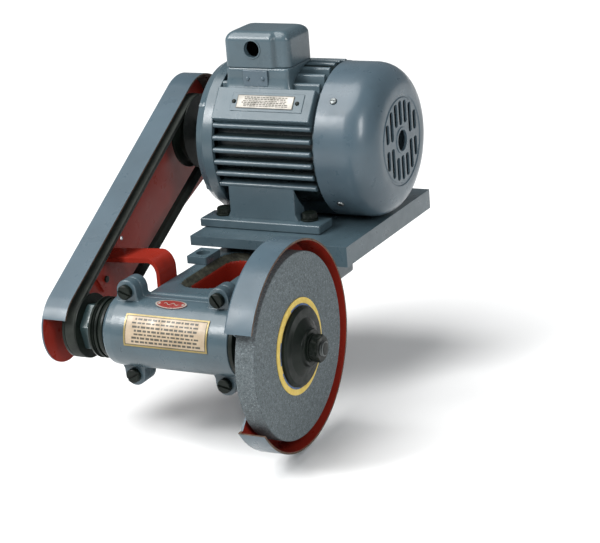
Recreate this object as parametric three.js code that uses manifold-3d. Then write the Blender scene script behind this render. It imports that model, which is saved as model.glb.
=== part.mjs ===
// Belt-driven grinding head for a lathe tool slide: a spindle in a split housing carries a
// grinding wheel at one end and a two-groove pulley at the other, and a foot-mounted motor on a
// plate behind it drives the spindle through a V-belt. Millimetres, +Z up.
//
// Everything is drawn in the spindle's own coordinates: X runs along the spindle axis towards the
// wheel with the wheel's outer face at 0, Y runs back towards the motor and Z is up. The outer
// group then moves the origin to the middle of the bracket's flat underside.
import * as THREE from 'three';
import { mergeVertices } from 'three/addons/utils/BufferGeometryUtils.js';
import Module from 'manifold-3d';

const wasm = await Module();
wasm.setup();

// ---------------------------------------------------------------- driving dimensions
const GAP = 0.3; // clearance left between touching pieces
const FINE = 36; // sides of large round pieces
const MEDIUM = 24;
const COARSE = 16;
const HOLE = 10;

const WHEEL = { radius: 100, thickness: 22, bore: 16 };
const FLANGE = { radius: 43, bore: 12.3 };
const HOUSING = { left: -221, right: -64, radius: 39.5, endRadius: 32.5, bore: 31.3 };
const CAP_LUG = { xs: [-198, -85], radius: 12.5, baseWidth: 34, screwZ: 48, front: 12, back: 14 };
const BEARING = { outer: 31, ring: 25.5, race: 18, bore: 12.8, width: 15, rearX: -212, frontX: -84 };
const SHAFT = { journal: 12.5, nose: 12, pulleySeat: 11, thread: 8 };

const BELT = { x: -261, height: 8, topHalf: 6, bottomHalf: 3.3 };
const PULLEY = { left: -271, right: -253.3, spindleRadius: 36, motorRadius: 44 };
const MOTOR = { y: 275, z: 150.5, radius: 90, cowlRadius: 88.5, left: -190, right: -66, shaft: 12 };

const WHEEL_GUARD = { radius: 113.5, sheet: 2.5, back: -30, front: 1.8, upperCut: 47.5, lowerCut: -65 };
const BELT_GUARD = { back: -292, front: -262, sheet: 2, lowRadius: 44, slope: 29.7 };

const ARM = { x: [-187, -92], back: 330, bottom: -32, top: 40, front: 41, tail: 168 };
const POCKET = { x: [-160, -123], y: [47, 158], floor: -16, rimWidth: 9, rimDepth: 7 };
const PLATE = { x: [-209, -11], y: [149.7, 385], z: [49, 60.5], flangeX: -36, flangeZ: 37 };
const FOOT = { x: [-214, -60], halfSpan: 70, railWidth: 35, railTop: 71, webX: [-179, -95] };
const FOOT_BOLT_XS = [-192, -82];
const BOX = { x: [-180, -100], y: [215, 277], joint: 243, top: 284, wall: 3.5 };

const ORIGIN = { x: -141.5, y: 110, z: ARM.bottom }; // middle of the bracket's underside

// ---------------------------------------------------------------- finishes
function finish(color, roughness, metalness) {
  return new THREE.MeshStandardMaterial({ color, roughness, metalness });
}

const PAINT = finish(0x72858d, 0.45, 0.1);
const PAINT_DARK = finish(0x3d5a5c, 0.5, 0.1);
const RED = finish(0x9a352b, 0.5, 0.1);
const BLACKED = finish(0x22251f, 0.5, 0.5);
const STEEL = finish(0x9a9d9f, 0.35, 1.0);
const IRON = finish(0x4c4d4b, 0.7, 0.6);
const RUBBER = finish(0x2b332d, 0.8, 0.0);
const ABRASIVE = finish(0x82898c, 0.95, 0.0);
const LABEL = finish(0xdcc79a, 0.6, 0.0);
const YELLOW = finish(0xd8b65a, 0.8, 0.0);
const COPPER = finish(0x8a5a36, 0.5, 0.6);
const MOULDED = finish(0x2c2b28, 0.6, 0.0);

// ---------------------------------------------------------------- solids from geometries
const AXIS = {
  x: new THREE.Vector3(1, 0, 0),
  y: new THREE.Vector3(0, 1, 0),
  z: new THREE.Vector3(0, 0, 1),
};

function basis(first, second, third) {
  return new THREE.Matrix4().makeBasis(first, second, third);
}

// Triangles of a merged mesh without the slivers that a lathe leaves at its poles.
function usefulTriangles(index) {
  const kept = [];
  for (let i = 0; i < index.length; i += 3) {
    const [a, b, c] = [index[i], index[i + 1], index[i + 2]];
    if (a !== b && b !== c && c !== a) kept.push(a, b, c);
  }
  return kept;
}

function signedVolume(vertices, triangles) {
  const corner = (i) => new THREE.Vector3().fromArray(vertices, 3 * triangles[i]);
  let sum = 0;
  for (let i = 0; i < triangles.length; i += 3) {
    sum += corner(i).dot(corner(i + 1).cross(corner(i + 2))) / 6;
  }
  return sum;
}

function toSolid(geometry) {
  const bare = geometry.clone();
  bare.deleteAttribute('normal');
  bare.deleteAttribute('uv');
  const merged = mergeVertices(bare, 1e-3);
  const vertices = new Float32Array(merged.attributes.position.array);
  const triangles = usefulTriangles(merged.index.array);
  if (signedVolume(vertices, triangles) < 0) triangles.reverse();
  const triVerts = new Uint32Array(triangles);
  return new wasm.Manifold(new wasm.Mesh({ numProp: 3, vertProperties: vertices, triVerts }));
}

function toGeometry(solid) {
  const mesh = solid.getMesh();
  const geometry = new THREE.BufferGeometry();
  geometry.setAttribute('position', new THREE.BufferAttribute(mesh.vertProperties, 3));
  geometry.setIndex(new THREE.BufferAttribute(mesh.triVerts, 1));
  geometry.computeVertexNormals();
  return geometry;
}

function join(...geometries) {
  return toGeometry(geometries.map(toSolid).reduce((sum, solid) => sum.add(solid)));
}

function cut(base, ...tools) {
  return toGeometry(tools.map(toSolid).reduce((rest, tool) => rest.subtract(tool), toSolid(base)));
}

function common(first, second) {
  return toGeometry(toSolid(first).intersect(toSolid(second)));
}

// ---------------------------------------------------------------- basic shapes
function block([x0, x1], [y0, y1], [z0, z1]) {
  const box = new THREE.BoxGeometry(x1 - x0, y1 - y0, z1 - z0);
  return box.translate((x0 + x1) / 2, (y0 + y1) / 2, (z0 + z1) / 2);
}

// A profile of [x, radius] points turned about the X axis. It closes on itself, or on the axis.
function turned(profile, sides = MEDIUM) {
  const points = profile.map(([x, radius]) => new THREE.Vector2(radius, x));
  if (profile[0][1] > 0) points.push(points[0].clone());
  const lathe = new THREE.LatheGeometry(points, sides);
  return lathe.applyMatrix4(basis(AXIS.z, AXIS.x, AXIS.y));
}

function ring([x0, x1], inner, outer, sides = MEDIUM) {
  return turned([[x0, inner], [x1, inner], [x1, outer], [x0, outer]], sides);
}

// A cylinder along one axis; at holds its centre's two other coordinates, in X, Y, Z order.
function rod(axis, at, radius, [from, to], sides = COARSE) {
  const cylinder = new THREE.CylinderGeometry(radius, radius, to - from, sides);
  const middle = (from + to) / 2;
  if (axis === 'x') return cylinder.rotateZ(-Math.PI / 2).translate(middle, at[0], at[1]);
  if (axis === 'y') return cylinder.translate(at[0], middle, at[1]);
  return cylinder.rotateX(Math.PI / 2).translate(at[0], at[1], middle);
}

// Prisms: the outline lies in the plane across the named axis.
function prismX(shape, [x0, x1], curveSegments = 7) {
  const prism = new THREE.ExtrudeGeometry(shape, { depth: x1 - x0, bevelEnabled: false, curveSegments });
  return prism.applyMatrix4(basis(AXIS.y, AXIS.z, AXIS.x)).translate(x0, 0, 0);
}

function prismY(shape, [y0, y1], curveSegments = 2) {
  const prism = new THREE.ExtrudeGeometry(shape, { depth: y1 - y0, bevelEnabled: false, curveSegments });
  return prism.applyMatrix4(basis(AXIS.x, AXIS.z, AXIS.y.clone().negate())).translate(0, y1, 0);
}

function prismZ(shape, [z0, z1], curveSegments = 2) {
  const prism = new THREE.ExtrudeGeometry(shape, { depth: z1 - z0, bevelEnabled: false, curveSegments });
  return prism.translate(0, 0, z0);
}

function polygon(points) {
  return new THREE.Shape(points.map(([u, v]) => new THREE.Vector2(u, v)));
}

function roundedRectangle([u0, u1], [v0, v1], radius) {
  const shape = new THREE.Shape();
  const quarter = Math.PI / 2;
  shape.absarc(u1 - radius, v1 - radius, radius, 0, quarter);
  shape.absarc(u0 + radius, v1 - radius, radius, quarter, 2 * quarter);
  shape.absarc(u0 + radius, v0 + radius, radius, 2 * quarter, 3 * quarter);
  shape.absarc(u1 - radius, v0 + radius, radius, 3 * quarter, 4 * quarter);
  return shape;
}

// ---------------------------------------------------------------- scene graph
const part = new THREE.Group();
const machine = new THREE.Group();
machine.position.set(-ORIGIN.x, -ORIGIN.y, -ORIGIN.z);
part.add(machine);

const motor = new THREE.Group();
motor.position.set(0, MOTOR.y, MOTOR.z);
machine.add(motor);

function piece(name, geometry, material, parent = machine) {
  const mesh = new THREE.Mesh(toGeometry(toSolid(geometry)), material);
  mesh.name = name;
  parent.add(mesh);
}

// ---------------------------------------------------------------- spindle housing
// The housing is split on the plane of the spindle axis, so the front half is a clamp cap.
function housingTube() {
  const { left, right, radius, endRadius, bore } = HOUSING;
  return turned([
    [left, bore], [left, endRadius], [left + 3, radius - 2.4], [left + 9, radius],
    [right, radius], [right, bore],
  ], FINE);
}

// An upright lug: round about its screw and flared where it meets the housing.
function lugShape() {
  const foot = HOUSING.bore + 3;
  const { radius, baseWidth, screwZ } = CAP_LUG;
  const shape = new THREE.Shape();
  shape.moveTo(-baseWidth / 2, foot);
  shape.lineTo(baseWidth / 2, foot);
  shape.absarc(0, screwZ, radius, 0, Math.PI, false);
  return shape;
}

function lugs([y0, y1]) {
  const upright = prismY(lugShape(), [y0, y1], 5);
  const hanging = prismY(lugShape(), [-y1, -y0], 5).rotateX(Math.PI);
  return CAP_LUG.xs.flatMap((x) => [
    upright.clone().translate(x, 0, 0),
    hanging.clone().translate(x, 0, 0),
  ]);
}

function lugScrewPlaces() {
  return CAP_LUG.xs.flatMap((x) => [[x, CAP_LUG.screwZ], [x, -CAP_LUG.screwZ]]);
}

function lugHoles() {
  return lugScrewPlaces().map((place) => rod('y', place, 5 + GAP, [-30, 30], HOLE));
}

function addClampCap() {
  const behind = block([-400, 100], [-GAP / 2, 100], [-100, 100]);
  const halfTube = cut(housingTube(), behind);
  const cap = join(halfTube, ...lugs([-CAP_LUG.front, -GAP / 2]));
  piece('clamp_cap', cut(cap, ...lugHoles()), PAINT);
}

function addCapScrews() {
  lugScrewPlaces().forEach(([x, z], index) => {
    const seat = -CAP_LUG.front - GAP;
    const head = rod('y', [x, z], 8, [seat - 6, seat], COARSE);
    const shank = rod('y', [x, z], 5, [seat - 1, CAP_LUG.back - 1], HOLE);
    const slot = block([x - 9, x + 9], [seat - 7, seat - 3.8], [z - 1.2, z + 1.2]);
    piece(`cap_screw_${index + 1}`, cut(join(head, shank), slot), BLACKED);
  });
}

function addSpindleCartridge() {
  for (const [name, x] of [['rear', BEARING.rearX], ['front', BEARING.frontX]]) {
    const width = [x, x + BEARING.width];
    piece(`${name}_bearing_outer_ring`, ring(width, BEARING.ring, BEARING.outer, COARSE), STEEL);
    piece(`${name}_bearing_inner_ring`, ring(width, BEARING.bore, BEARING.race, COARSE), STEEL);
  }
  const bore = SHAFT.journal + 1;
  const face = HOUSING.right + GAP;
  piece('front_end_cover', turned([
    [face, bore], [face, 39], [face + 5, 39], [face + 6, 30], [-35.5, 30], [-35.5, bore],
  ]), IRON);
  const back = HOUSING.left - GAP;
  piece('rear_end_cover', turned([
    [-228, bore], [-228, 31.5], [-226, 33.5], [back, 33.5], [back, bore],
  ]), BLACKED);
}

// A thin plate wrapped round the housing: a slice of ring cut out by a tool shape.
function wrapped(thickness, tool, xs) {
  const inner = HOUSING.radius + GAP;
  return common(ring(xs, inner, inner + thickness, FINE), tool);
}

// A wedge about the X axis; angles in degrees, measured from straight forward towards the top.
function wedge(xs, from, to) {
  const reach = 70;
  const corner = (degrees) => {
    const angle = THREE.MathUtils.degToRad(degrees);
    return [-reach * Math.cos(angle), reach * Math.sin(angle)];
  };
  return prismX(polygon([[0, 0], corner(from), corner((from + to) / 2), corner(to)]), xs);
}

function addPlates() {
  const labelX = [-190, -88];
  piece('label_plate', wrapped(0.8, wedge(labelX, -4, 47), [-195, -80]), LABEL);
  const oval = new THREE.CylinderGeometry(1, 1, 30, 24).scale(19, 1, 7);
  const lean = THREE.MathUtils.degToRad(18);
  const tool = oval.translate(-143, 40, 0).rotateX(Math.PI / 2 + lean);
  piece('badge_plate', wrapped(1, tool, [-170, -110]), RED);
}

// ---------------------------------------------------------------- bracket
// The casting holds the rear half of the housing on a hollow arm that reaches back under the motor.
// It is given in three lengths: the housing, the part of the arm with the pocket, and the tail.
function armCuts() {
  const opening = () => roundedRectangle(POCKET.x, POCKET.y, 18);
  const rim = new THREE.ExtrudeGeometry(opening(), {
    depth: 10, bevelThickness: POCKET.rimDepth, bevelSize: POCKET.rimWidth, bevelSegments: 1, curveSegments: 2,
  });
  const slotX = [ORIGIN.x - 9, ORIGIN.x + 9];
  return [
    prismZ(opening(), [POCKET.floor, ARM.top + 1]),
    rim.translate(0, 0, ARM.top),
    prismZ(roundedRectangle(slotX, [60, 94], 8.9), [ARM.bottom - 1, POCKET.floor + 1]),
    prismZ(roundedRectangle(slotX, [126, 154], 8.9), [ARM.bottom - 1, POCKET.floor + 1]),
    block([ARM.x[0] + 10, ARM.x[1] - 10], [178, ARM.back - 12], [ARM.bottom - 1, ARM.top - 12]),
    rod('x', LEG_BOLT, 4 + GAP, [ARM.x[0] - 1, ARM.x[0] + 12], HOLE),
  ];
}

function addBracket() {
  const inFront = block([-400, 100], [-100, GAP / 2], [-100, 100]);
  const arm = block(ARM.x, [20, ARM.back], [ARM.bottom, ARM.top]);
  const neck = block(ARM.x, [GAP / 2, 21], [ARM.bottom, HOUSING.radius - 0.5]);
  const rearPad = block(ARM.x, [ARM.back - 40, ARM.back], [ARM.top - 1, PLATE.z[0] - GAP]);
  const clampLug = block([-194, -168], [112, 146], [10, 49]);
  const bore = rod('x', [0, 0], HOUSING.bore, [-230, -50], FINE);
  const whole = join(cut(housingTube(), inFront), arm, neck, rearPad, clampLug, ...lugs([GAP / 2, CAP_LUG.back]));
  const lugRecess = rod('z', [-181, 129], 8, [38, 50], COARSE);
  const casting = cut(whole, bore, lugRecess, ...lugHoles(), ...armCuts());
  const length = (from, to) => common(casting, block([-400, 100], [from, to], [-100, 100]));
  piece('bracket_casting', length(-100, ARM.front - GAP / 2), PAINT);
  piece('bracket_arm', length(ARM.front + GAP / 2, ARM.tail - GAP / 2), PAINT);
  piece('bracket_tail', length(ARM.tail + GAP / 2, 400), PAINT);
}

// ---------------------------------------------------------------- spindle and what turns with it
function addSpindleShaft() {
  const { journal, nose, pulleySeat, thread } = SHAFT;
  const frontShoulder = BEARING.frontX - GAP;
  const rearShoulder = BEARING.rearX + BEARING.width + GAP;
  piece('spindle_shaft', turned([
    [PULLEY.left, 0], [PULLEY.left, pulleySeat], [-239, pulleySeat], [-239, journal],
    [rearShoulder, journal], [rearShoulder, 15], [frontShoulder, 15], [frontShoulder, journal],
    [-34.4, journal], [-34.4, nose], [15, nose], [15, thread], [30, thread], [31, thread - 1], [31, 0],
  ], COARSE), STEEL);
}

function addWheelAndFlanges() {
  const back = -WHEEL.thickness;
  piece('grinding_wheel', ring([back, 0], WHEEL.bore, WHEEL.radius, FINE), ABRASIVE);
  piece('inner_flange', turned([
    [-34, FLANGE.bore], [-34, 20], [-27, 20], [-27, FLANGE.radius], [back - GAP, FLANGE.radius],
    [back - GAP, WHEEL.bore - GAP], [-6, WHEEL.bore - GAP], [-6, FLANGE.bore],
  ]), BLACKED);
  piece('wheel_label_ring', ring([GAP, GAP + 1], 30, 51.5, FINE), YELLOW);
  const seat = 2 * GAP + 1;
  piece('outer_flange', turned([
    [seat, FLANGE.bore], [seat, FLANGE.radius], [5, FLANGE.radius], [7, 40], [7.5, 31], [13.5, 20],
    [16, 20], [16, FLANGE.bore],
  ]), BLACKED);
  const nut = rod('x', [0, 0], 15, [16.3, 28], 6);
  piece('wheel_nut', cut(nut, rod('x', [0, 0], SHAFT.thread + GAP, [10, 40], COARSE)), BLACKED);
}

// A pulley with one V-groove for the belt.
function groovedPulley(radius, bore) {
  const half = BELT.topHalf + 0.4;
  const rootHalf = BELT.bottomHalf + 0.2;
  const root = radius - BELT.height - 0.6;
  const { x } = BELT;
  return turned([
    [PULLEY.left, bore], [PULLEY.left, radius],
    [x - half, radius], [x - rootHalf, root], [x + rootHalf, root], [x + half, radius],
    [PULLEY.right, radius], [PULLEY.right, bore],
  ]);
}

function addSpindlePulleyEnd() {
  const bore = SHAFT.pulleySeat + GAP;
  piece('spindle_pulley', groovedPulley(PULLEY.spindleRadius, bore), BLACKED);
  const nut = rod('x', [0, 0], 29, [-253, -239.3], 6);
  piece('pulley_lock_nut', cut(nut, rod('x', [0, 0], bore, [-260, -230], COARSE)), PAINT_DARK);
  piece('dust_ring', turned([
    [-239, BEARING.bore], [-239, 34], [-235, 34], [-233.7, 32], [-232.4, 34],
    [-228.6, 34], [-228.6, BEARING.bore],
  ]), BLACKED);
}

// ---------------------------------------------------------------- belt
// The loop round both pulleys, inset from the pulleys' rims: two arcs and two straight runs.
function beltLoop(inset) {
  const lean = Math.atan2(MOTOR.z, MOTOR.y);
  const spread = Math.acos((PULLEY.spindleRadius - PULLEY.motorRadius) / Math.hypot(MOTOR.y, MOTOR.z));
  const shape = new THREE.Shape();
  shape.absarc(MOTOR.y, MOTOR.z, PULLEY.motorRadius - inset, lean - spread, lean + spread, false);
  shape.absarc(0, 0, PULLEY.spindleRadius - inset, lean + spread, lean - spread + 2 * Math.PI, false);
  return shape;
}

function addBelt() {
  const across = [BELT.x - BELT.topHalf, BELT.x + BELT.topHalf];
  const band = prismX(beltLoop(0), across, 8);
  const flare = new THREE.ExtrudeGeometry(beltLoop(BELT.height), {
    depth: 4, bevelThickness: BELT.topHalf - BELT.bottomHalf, bevelSize: BELT.height, bevelSegments: 1,
    curveSegments: 8,
  }).applyMatrix4(basis(AXIS.y, AXIS.z, AXIS.x));
  const right = flare.clone().translate(across[1], 0, 0);
  const left = flare.clone().translate(across[0] - 4, 0, 0);
  const middle = prismX(beltLoop(BELT.height), across, 8);
  piece('belt', cut(band, middle, left, right), RUBBER);
}

// ---------------------------------------------------------------- wheel guard
function addWheelGuard() {
  const { radius, sheet, back, front, upperCut, lowerCut } = WHEEL_GUARD;
  const spigot = 30 + GAP;
  const rim = ring([back, front], radius - sheet, radius, 40);
  const disc = ring([back, back + sheet], spigot, radius - 1, 40);
  const hub = ring([-48, back + 1], spigot, 37);
  const lug = block([-46, -34], [-10, 10], [-53, -32]);
  const mouth = block([back + sheet, front + 1], [-130, -70], [lowerCut, upperCut]);
  const plateMouth = polygon([
    [-130, upperCut], [-95, upperCut], [-60, 22], [-60, -40], [-85, lowerCut], [-130, lowerCut],
  ]);
  const spigotHole = rod('x', [0, 0], spigot, [-60, -20], MEDIUM);
  const slit = block([-60, back], [-1.5, 1.5], [-60, -20]);
  const screwHole = rod('y', [-40, -45], 3 + GAP, [-20, 20], HOLE);
  const solid = join(rim, disc, hub, lug);
  const cuts = [mouth, prismX(plateMouth, [back - 1, back + sheet + 0.1]), spigotHole, slit, screwHole];
  piece('wheel_guard', cut(solid, ...cuts), PAINT);
  const head = rod('y', [-40, -45], 5.5, [-16.3, -10.3], HOLE);
  const shank = rod('y', [-40, -45], 3, [-11, 12], HOLE);
  piece('guard_clamp_screw', join(head, shank), BLACKED);
}

// ---------------------------------------------------------------- belt guard and its support
const GUARD_TOP = { y: 300, z: 154 };
const GUARD_REAR = { y: 315, z: 130 };

// Outline of the belt guard seen along the spindle: round at the spindle end, wide at the motor end.
function guardOutline(inset) {
  const slope = THREE.MathUtils.degToRad(BELT_GUARD.slope);
  const low = BELT_GUARD.lowRadius;
  const topRadius = low + GUARD_TOP.y * Math.sin(slope) - GUARD_TOP.z * Math.cos(slope);
  const frontNormal = Math.PI / 2 + slope;
  const rearNormal = Math.PI / 2 + Math.atan2(GUARD_REAR.z - GUARD_TOP.z, GUARD_REAR.y - GUARD_TOP.y);
  const span = Math.hypot(GUARD_REAR.y, GUARD_REAR.z);
  const underNormal = Math.atan2(GUARD_REAR.z, GUARD_REAR.y) - Math.acos((low - topRadius) / span);
  const shape = new THREE.Shape();
  shape.absarc(GUARD_TOP.y, GUARD_TOP.z, topRadius - inset, frontNormal, rearNormal, true);
  shape.absarc(GUARD_REAR.y, GUARD_REAR.z, topRadius - inset, rearNormal, underNormal, true);
  shape.absarc(0, 0, low - inset, underNormal, frontNormal - 2 * Math.PI, true);
  return shape;
}

function addBeltGuard() {
  const { back, front, sheet } = BELT_GUARD;
  const plate = prismX(guardOutline(0), [back, back + sheet]);
  const shell = prismX(guardOutline(0), [back, front]);
  const hollow = prismX(guardOutline(sheet), [back + sheet, front + 1]);
  const openSide = polygon([[-90, 18], [10, 18], [330, 158], [420, 158], [420, -120], [-90, -120]]);
  const rim = cut(shell, hollow, prismX(openSide, [back - 1, front + 1]));
  piece('belt_guard', cut(
    join(plate, rim),
    rod('x', [295, 145], 32, [back - 1, back + 3], MEDIUM),
    rod('x', [132, 57.5], 2.5, [back - 1, back + 3], HOLE),
    rod('x', TAB_SCREW, 3 + GAP, [back - 1, back + 3], HOLE),
  ), PAINT);
}

// A flat bar holds the guard: it slopes across from a tab on the guard's plate to the arm's side,
// rising a little on the way, and is bent down there into a leg.
const STRAP = { thickness: 5.5, slope: 10, bend: 17, start: 51, skew: -0.36, width: [78, 115] };
const TAB_SCREW = [85.5, 23];
const LEG_BOLT = [60, 10];

function strapSide([plateFace, armFace]) {
  const { thickness, slope, bend, start } = STRAP;
  const lean = THREE.MathUtils.degToRad(slope);
  const centreX = armFace - bend;
  const reach = centreX - bend * Math.sin(lean) - plateFace;
  const centreZ = start + reach * Math.tan(lean) - bend * Math.cos(lean);
  const shape = new THREE.Shape();
  shape.moveTo(plateFace, start);
  shape.absarc(centreX, centreZ, bend, Math.PI / 2 + lean, 0, true);
  shape.lineTo(armFace, -4);
  shape.lineTo(armFace - thickness, -4);
  shape.absarc(centreX, centreZ, bend - thickness, 0, Math.PI / 2 + lean, false);
  shape.lineTo(plateFace, start - thickness / Math.cos(lean));
  return shape;
}

function strapPlan([plateFace, armFace]) {
  const [near, far] = STRAP.width;
  const shift = STRAP.skew * (armFace - plateFace);
  return polygon([[plateFace, near], [armFace, near + shift], [armFace, far + shift], [plateFace, far]]);
}

function addGuardSupport() {
  const plateFace = BELT_GUARD.back + BELT_GUARD.sheet + GAP;
  const tabFace = plateFace + 3;
  const armFace = ARM.x[0] - GAP;
  const bar = common(
    prismY(strapSide([plateFace, armFace]), [20, 140], 4),
    prismZ(strapPlan([plateFace, armFace]), [-30, 90]),
  );
  const tab = polygon([[80, 50], [64, 35], [80, 8], [93, 10], [98, 22], [98, 50]]);
  const screwHole = rod('x', TAB_SCREW, 3 + GAP, [plateFace - 1, tabFace + 1], HOLE);
  const boltHole = rod('x', LEG_BOLT, 4 + GAP, [armFace - STRAP.thickness - 1, armFace + 1], HOLE);
  piece('guard_support_arm', cut(join(bar, prismX(tab, [plateFace, tabFace])), screwHole, boltHole), RED);

  const head = rod('x', TAB_SCREW, 4, [tabFace + GAP, tabFace + 2.2], HOLE);
  const nut = rod('x', TAB_SCREW, 6, [BELT_GUARD.back - 5, BELT_GUARD.back - GAP], 6);
  const screw = rod('x', TAB_SCREW, 3, [BELT_GUARD.back - 4, tabFace + 1], HOLE);
  piece('support_tab_screw', join(head, nut, screw), BLACKED);
  const legFace = armFace - STRAP.thickness - GAP;
  const boltHead = rod('x', LEG_BOLT, 7, [legFace - 5, legFace], 6);
  const boltShank = rod('x', LEG_BOLT, 4, [legFace - 1, ARM.x[0] + 10], HOLE);
  piece('support_leg_bolt', join(boltHead, boltShank), BLACKED);
}

// The space the motor's round body takes up, for shaping what fits against it.
function aroundMotorFrame() {
  const radius = MOTOR.radius + 2 * GAP;
  const drum = turned([[-240, 0], [-240, radius], [-40, radius], [-40, 0]], FINE);
  const heights = [-PAD.below, PAD.above + GAP];
  const pad = leaned(block([MOTOR.left, MOTOR.right], [-PAD.distance - GAP, -70], heights));
  return join(drum, pad).translate(0, MOTOR.y, MOTOR.z);
}

// ---------------------------------------------------------------- motor plate and feet
function footBoltPlaces() {
  const ys = [MOTOR.y - FOOT.halfSpan, MOTOR.y + FOOT.halfSpan];
  return ys.flatMap((y) => FOOT_BOLT_XS.map((x) => [x, y]));
}

function footBoltHoles() {
  return footBoltPlaces().map((place) => rod('z', place, 5 + GAP, [30, 80], HOLE));
}

function addMotorPlate() {
  const [bottom, top] = PLATE.z;
  const sheet = block(PLATE.x, PLATE.y, [bottom, top]);
  const flange = block([PLATE.flangeX, PLATE.x[1]], PLATE.y, [PLATE.flangeZ, bottom + 1]);
  piece('motor_plate', cut(join(sheet, flange), ...footBoltHoles()), PAINT);
  const column = rod('z', [-160, 200], 27, [ARM.top + GAP, bottom - GAP], MEDIUM);
  piece('plate_column', column, IRON);
}

// A foot is a rail on the plate with a web that reaches up to the motor's frame.
function addMotorFeet() {
  const half = FOOT.railWidth / 2;
  const frameClearance = aroundMotorFrame();
  for (const [name, side] of [['front', -1], ['rear', 1]]) {
    const y = MOTOR.y + side * (FOOT.halfSpan + 3.5);
    const rail = block(FOOT.x, [y - half, y + half], [PLATE.z[1] + GAP, FOOT.railTop]);
    const webY = side < 0 ? [y - 6.5, y + half] : [y - half, y + 6.5];
    const web = block(FOOT.webX, webY, [FOOT.railTop - 1, 115]);
    piece(`motor_foot_${name}`, cut(join(rail, web), frameClearance, ...footBoltHoles()), PAINT);
  }
  footBoltPlaces().forEach((place, index) => {
    const seat = FOOT.railTop + GAP;
    const washer = rod('z', place, 10, [seat, seat + 2], COARSE);
    const head = rod('z', place, 9, [seat + 1, seat + 9], 6);
    const shank = rod('z', place, 5, [PLATE.z[0] + 1, seat + 1], HOLE);
    piece(`foot_bolt_${index + 1}`, join(washer, head, shank), BLACKED);
  });
}

// ---------------------------------------------------------------- motor, drawn about its own axis
const PAD = { distance: 93.2, lean: 37.5, below: 22, above: 18 };

// The round motor is a little deeper than its shaft height, so its underside is flattened.
function clearOfPlate(geometry) {
  const flat = PLATE.z[1] + GAP - MOTOR.z;
  return cut(geometry, block([-300, 100], [-120, 120], [-120, flat]));
}

function leaned(geometry) {
  return geometry.rotateX(THREE.MathUtils.degToRad(-PAD.lean));
}

function frameFins() {
  const along = [MOTOR.left + GAP, MOTOR.right];
  const thin = 1.75;
  const fins = [];
  for (let z = -40; z <= 30; z += 14) {
    fins.push(block(along, [-95, -60], [z - thin, z + thin]));
  }
  for (let z = -54; z <= 58; z += 14) {
    fins.push(block(along, [50, 95], [z - thin, z + thin]));
  }
  for (const y of [-50, -36, -22, -8, 6, 20, 34]) {
    fins.push(block(along, [y - thin, y + thin], [60, 95]));
  }
  for (const y of [-16, 0, 16]) {
    fins.push(block(along, [y - thin, y + thin], [-95, -70]));
  }
  return fins;
}

function addMotorFrame() {
  const along = [MOTOR.left + GAP, MOTOR.right];
  const shell = ring(along, 74, 79, FINE);
  const envelope = ring(along, 76, MOTOR.radius, FINE);
  const fins = common(join(...frameFins()), envelope);
  const pad = cut(
    leaned(block(along, [-PAD.distance, -70], [-PAD.below, PAD.above])),
    rod('x', [0, 0], 77, [-200, -50], FINE),
  );
  piece('motor_frame', clearOfPlate(join(shell, fins, pad)), PAINT, motor);
  const plate = leaned(block([-161, -89], [-PAD.distance - GAP - 0.8, -PAD.distance - GAP], [-8, 8]));
  piece('nameplate', plate, STEEL, motor);
}

function addMotorEnds() {
  const shellRadius = MOTOR.radius;
  const edge = MOTOR.left;
  const driveEnd = turned([
    [edge, 84], [edge, shellRadius], [-204, shellRadius], [-214, 84], [-221, 70],
    [-224, 34], [-228, 32], [-228, 13.5], [-221, 13.5], [-221, 26.3], [-202, 26.3], [-202, 33],
    [-216, 60], [-204, 84],
  ], FINE);
  piece('drive_end_shield', clearOfPlate(driveEnd), PAINT, motor);
  const near = MOTOR.right + GAP;
  piece('fan_end_shield', turned([
    [near, 26.3], [near, 84], [-60, 84], [-58, 34], [-47, 33], [-47, 26.3],
  ]), PAINT, motor);
  piece('drive_end_bearing', ring([-218, -203], 13, 26, COARSE), STEEL, motor);
  piece('fan_end_bearing', ring([-64, -49], 13, 26, COARSE), STEEL, motor);
}

// Grille slots stand upright in seven columns, shorter towards the sides and clear of the middle hole.
function grilleSlots() {
  const slots = [];
  for (const y of [-37.5, -25, -12.5, 0, 12.5, 25, 37.5]) {
    const reach = Math.sqrt(46 * 46 - y * y);
    const inner = Math.abs(y) < 20 ? 17 : 4;
    slots.push(prismX(roundedRectangle([y - 4, y + 4], [inner, reach], 3.9), [3, 9], 1));
    slots.push(prismX(roundedRectangle([y - 4, y + 4], [-reach, -inner], 3.9), [3, 9], 1));
  }
  return slots;
}

function addFanEnd() {
  const outer = MOTOR.cowlRadius;
  const cover = turned([
    [5, 0], [5, 60], [-3, 76], [-25, outer - 2], [-62, outer - 2],
    [-62, outer], [-24, outer], [-9, 85], [2, 76], [7, 61], [7, 0],
  ], FINE);
  const pierced = cut(cover, rod('x', [0, 0], 12, [3, 9]), ...grilleSlots());
  piece('fan_cowl', clearOfPlate(pierced), PAINT, motor);
  cowlScrewAngles().forEach((angle, index) => {
    const head = cowlScrew(angle, 4, outer + GAP, outer + 3);
    piece(`cowl_screw_${index + 1}`, head, STEEL, motor);
  });
  const blade = () => block([-43, -24], [-1.5, 1.5], [18, 68]);
  const blades = Array.from({ length: 6 }, (_, i) => blade().rotateX((i * Math.PI) / 3));
  const disc = ring([-45, -42], 10.3, 68);
  const hub = ring([-45, -20], 10.3, 20);
  const bore = rod('x', [0, 0], 10.3, [-50, -10]);
  piece('cooling_fan', cut(join(disc, hub, ...blades), bore), MOULDED, motor);
}

function cowlScrewAngles() {
  return [42, 138, 222, 318];
}

// A round peg pointing out from the motor's axis at an angle measured from straight forward.
function cowlScrew(degrees, radius, from, to) {
  const peg = rod('y', [-43.5, 0], radius, [-to, -from], HOLE);
  return peg.rotateX(THREE.MathUtils.degToRad(-degrees));
}

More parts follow.
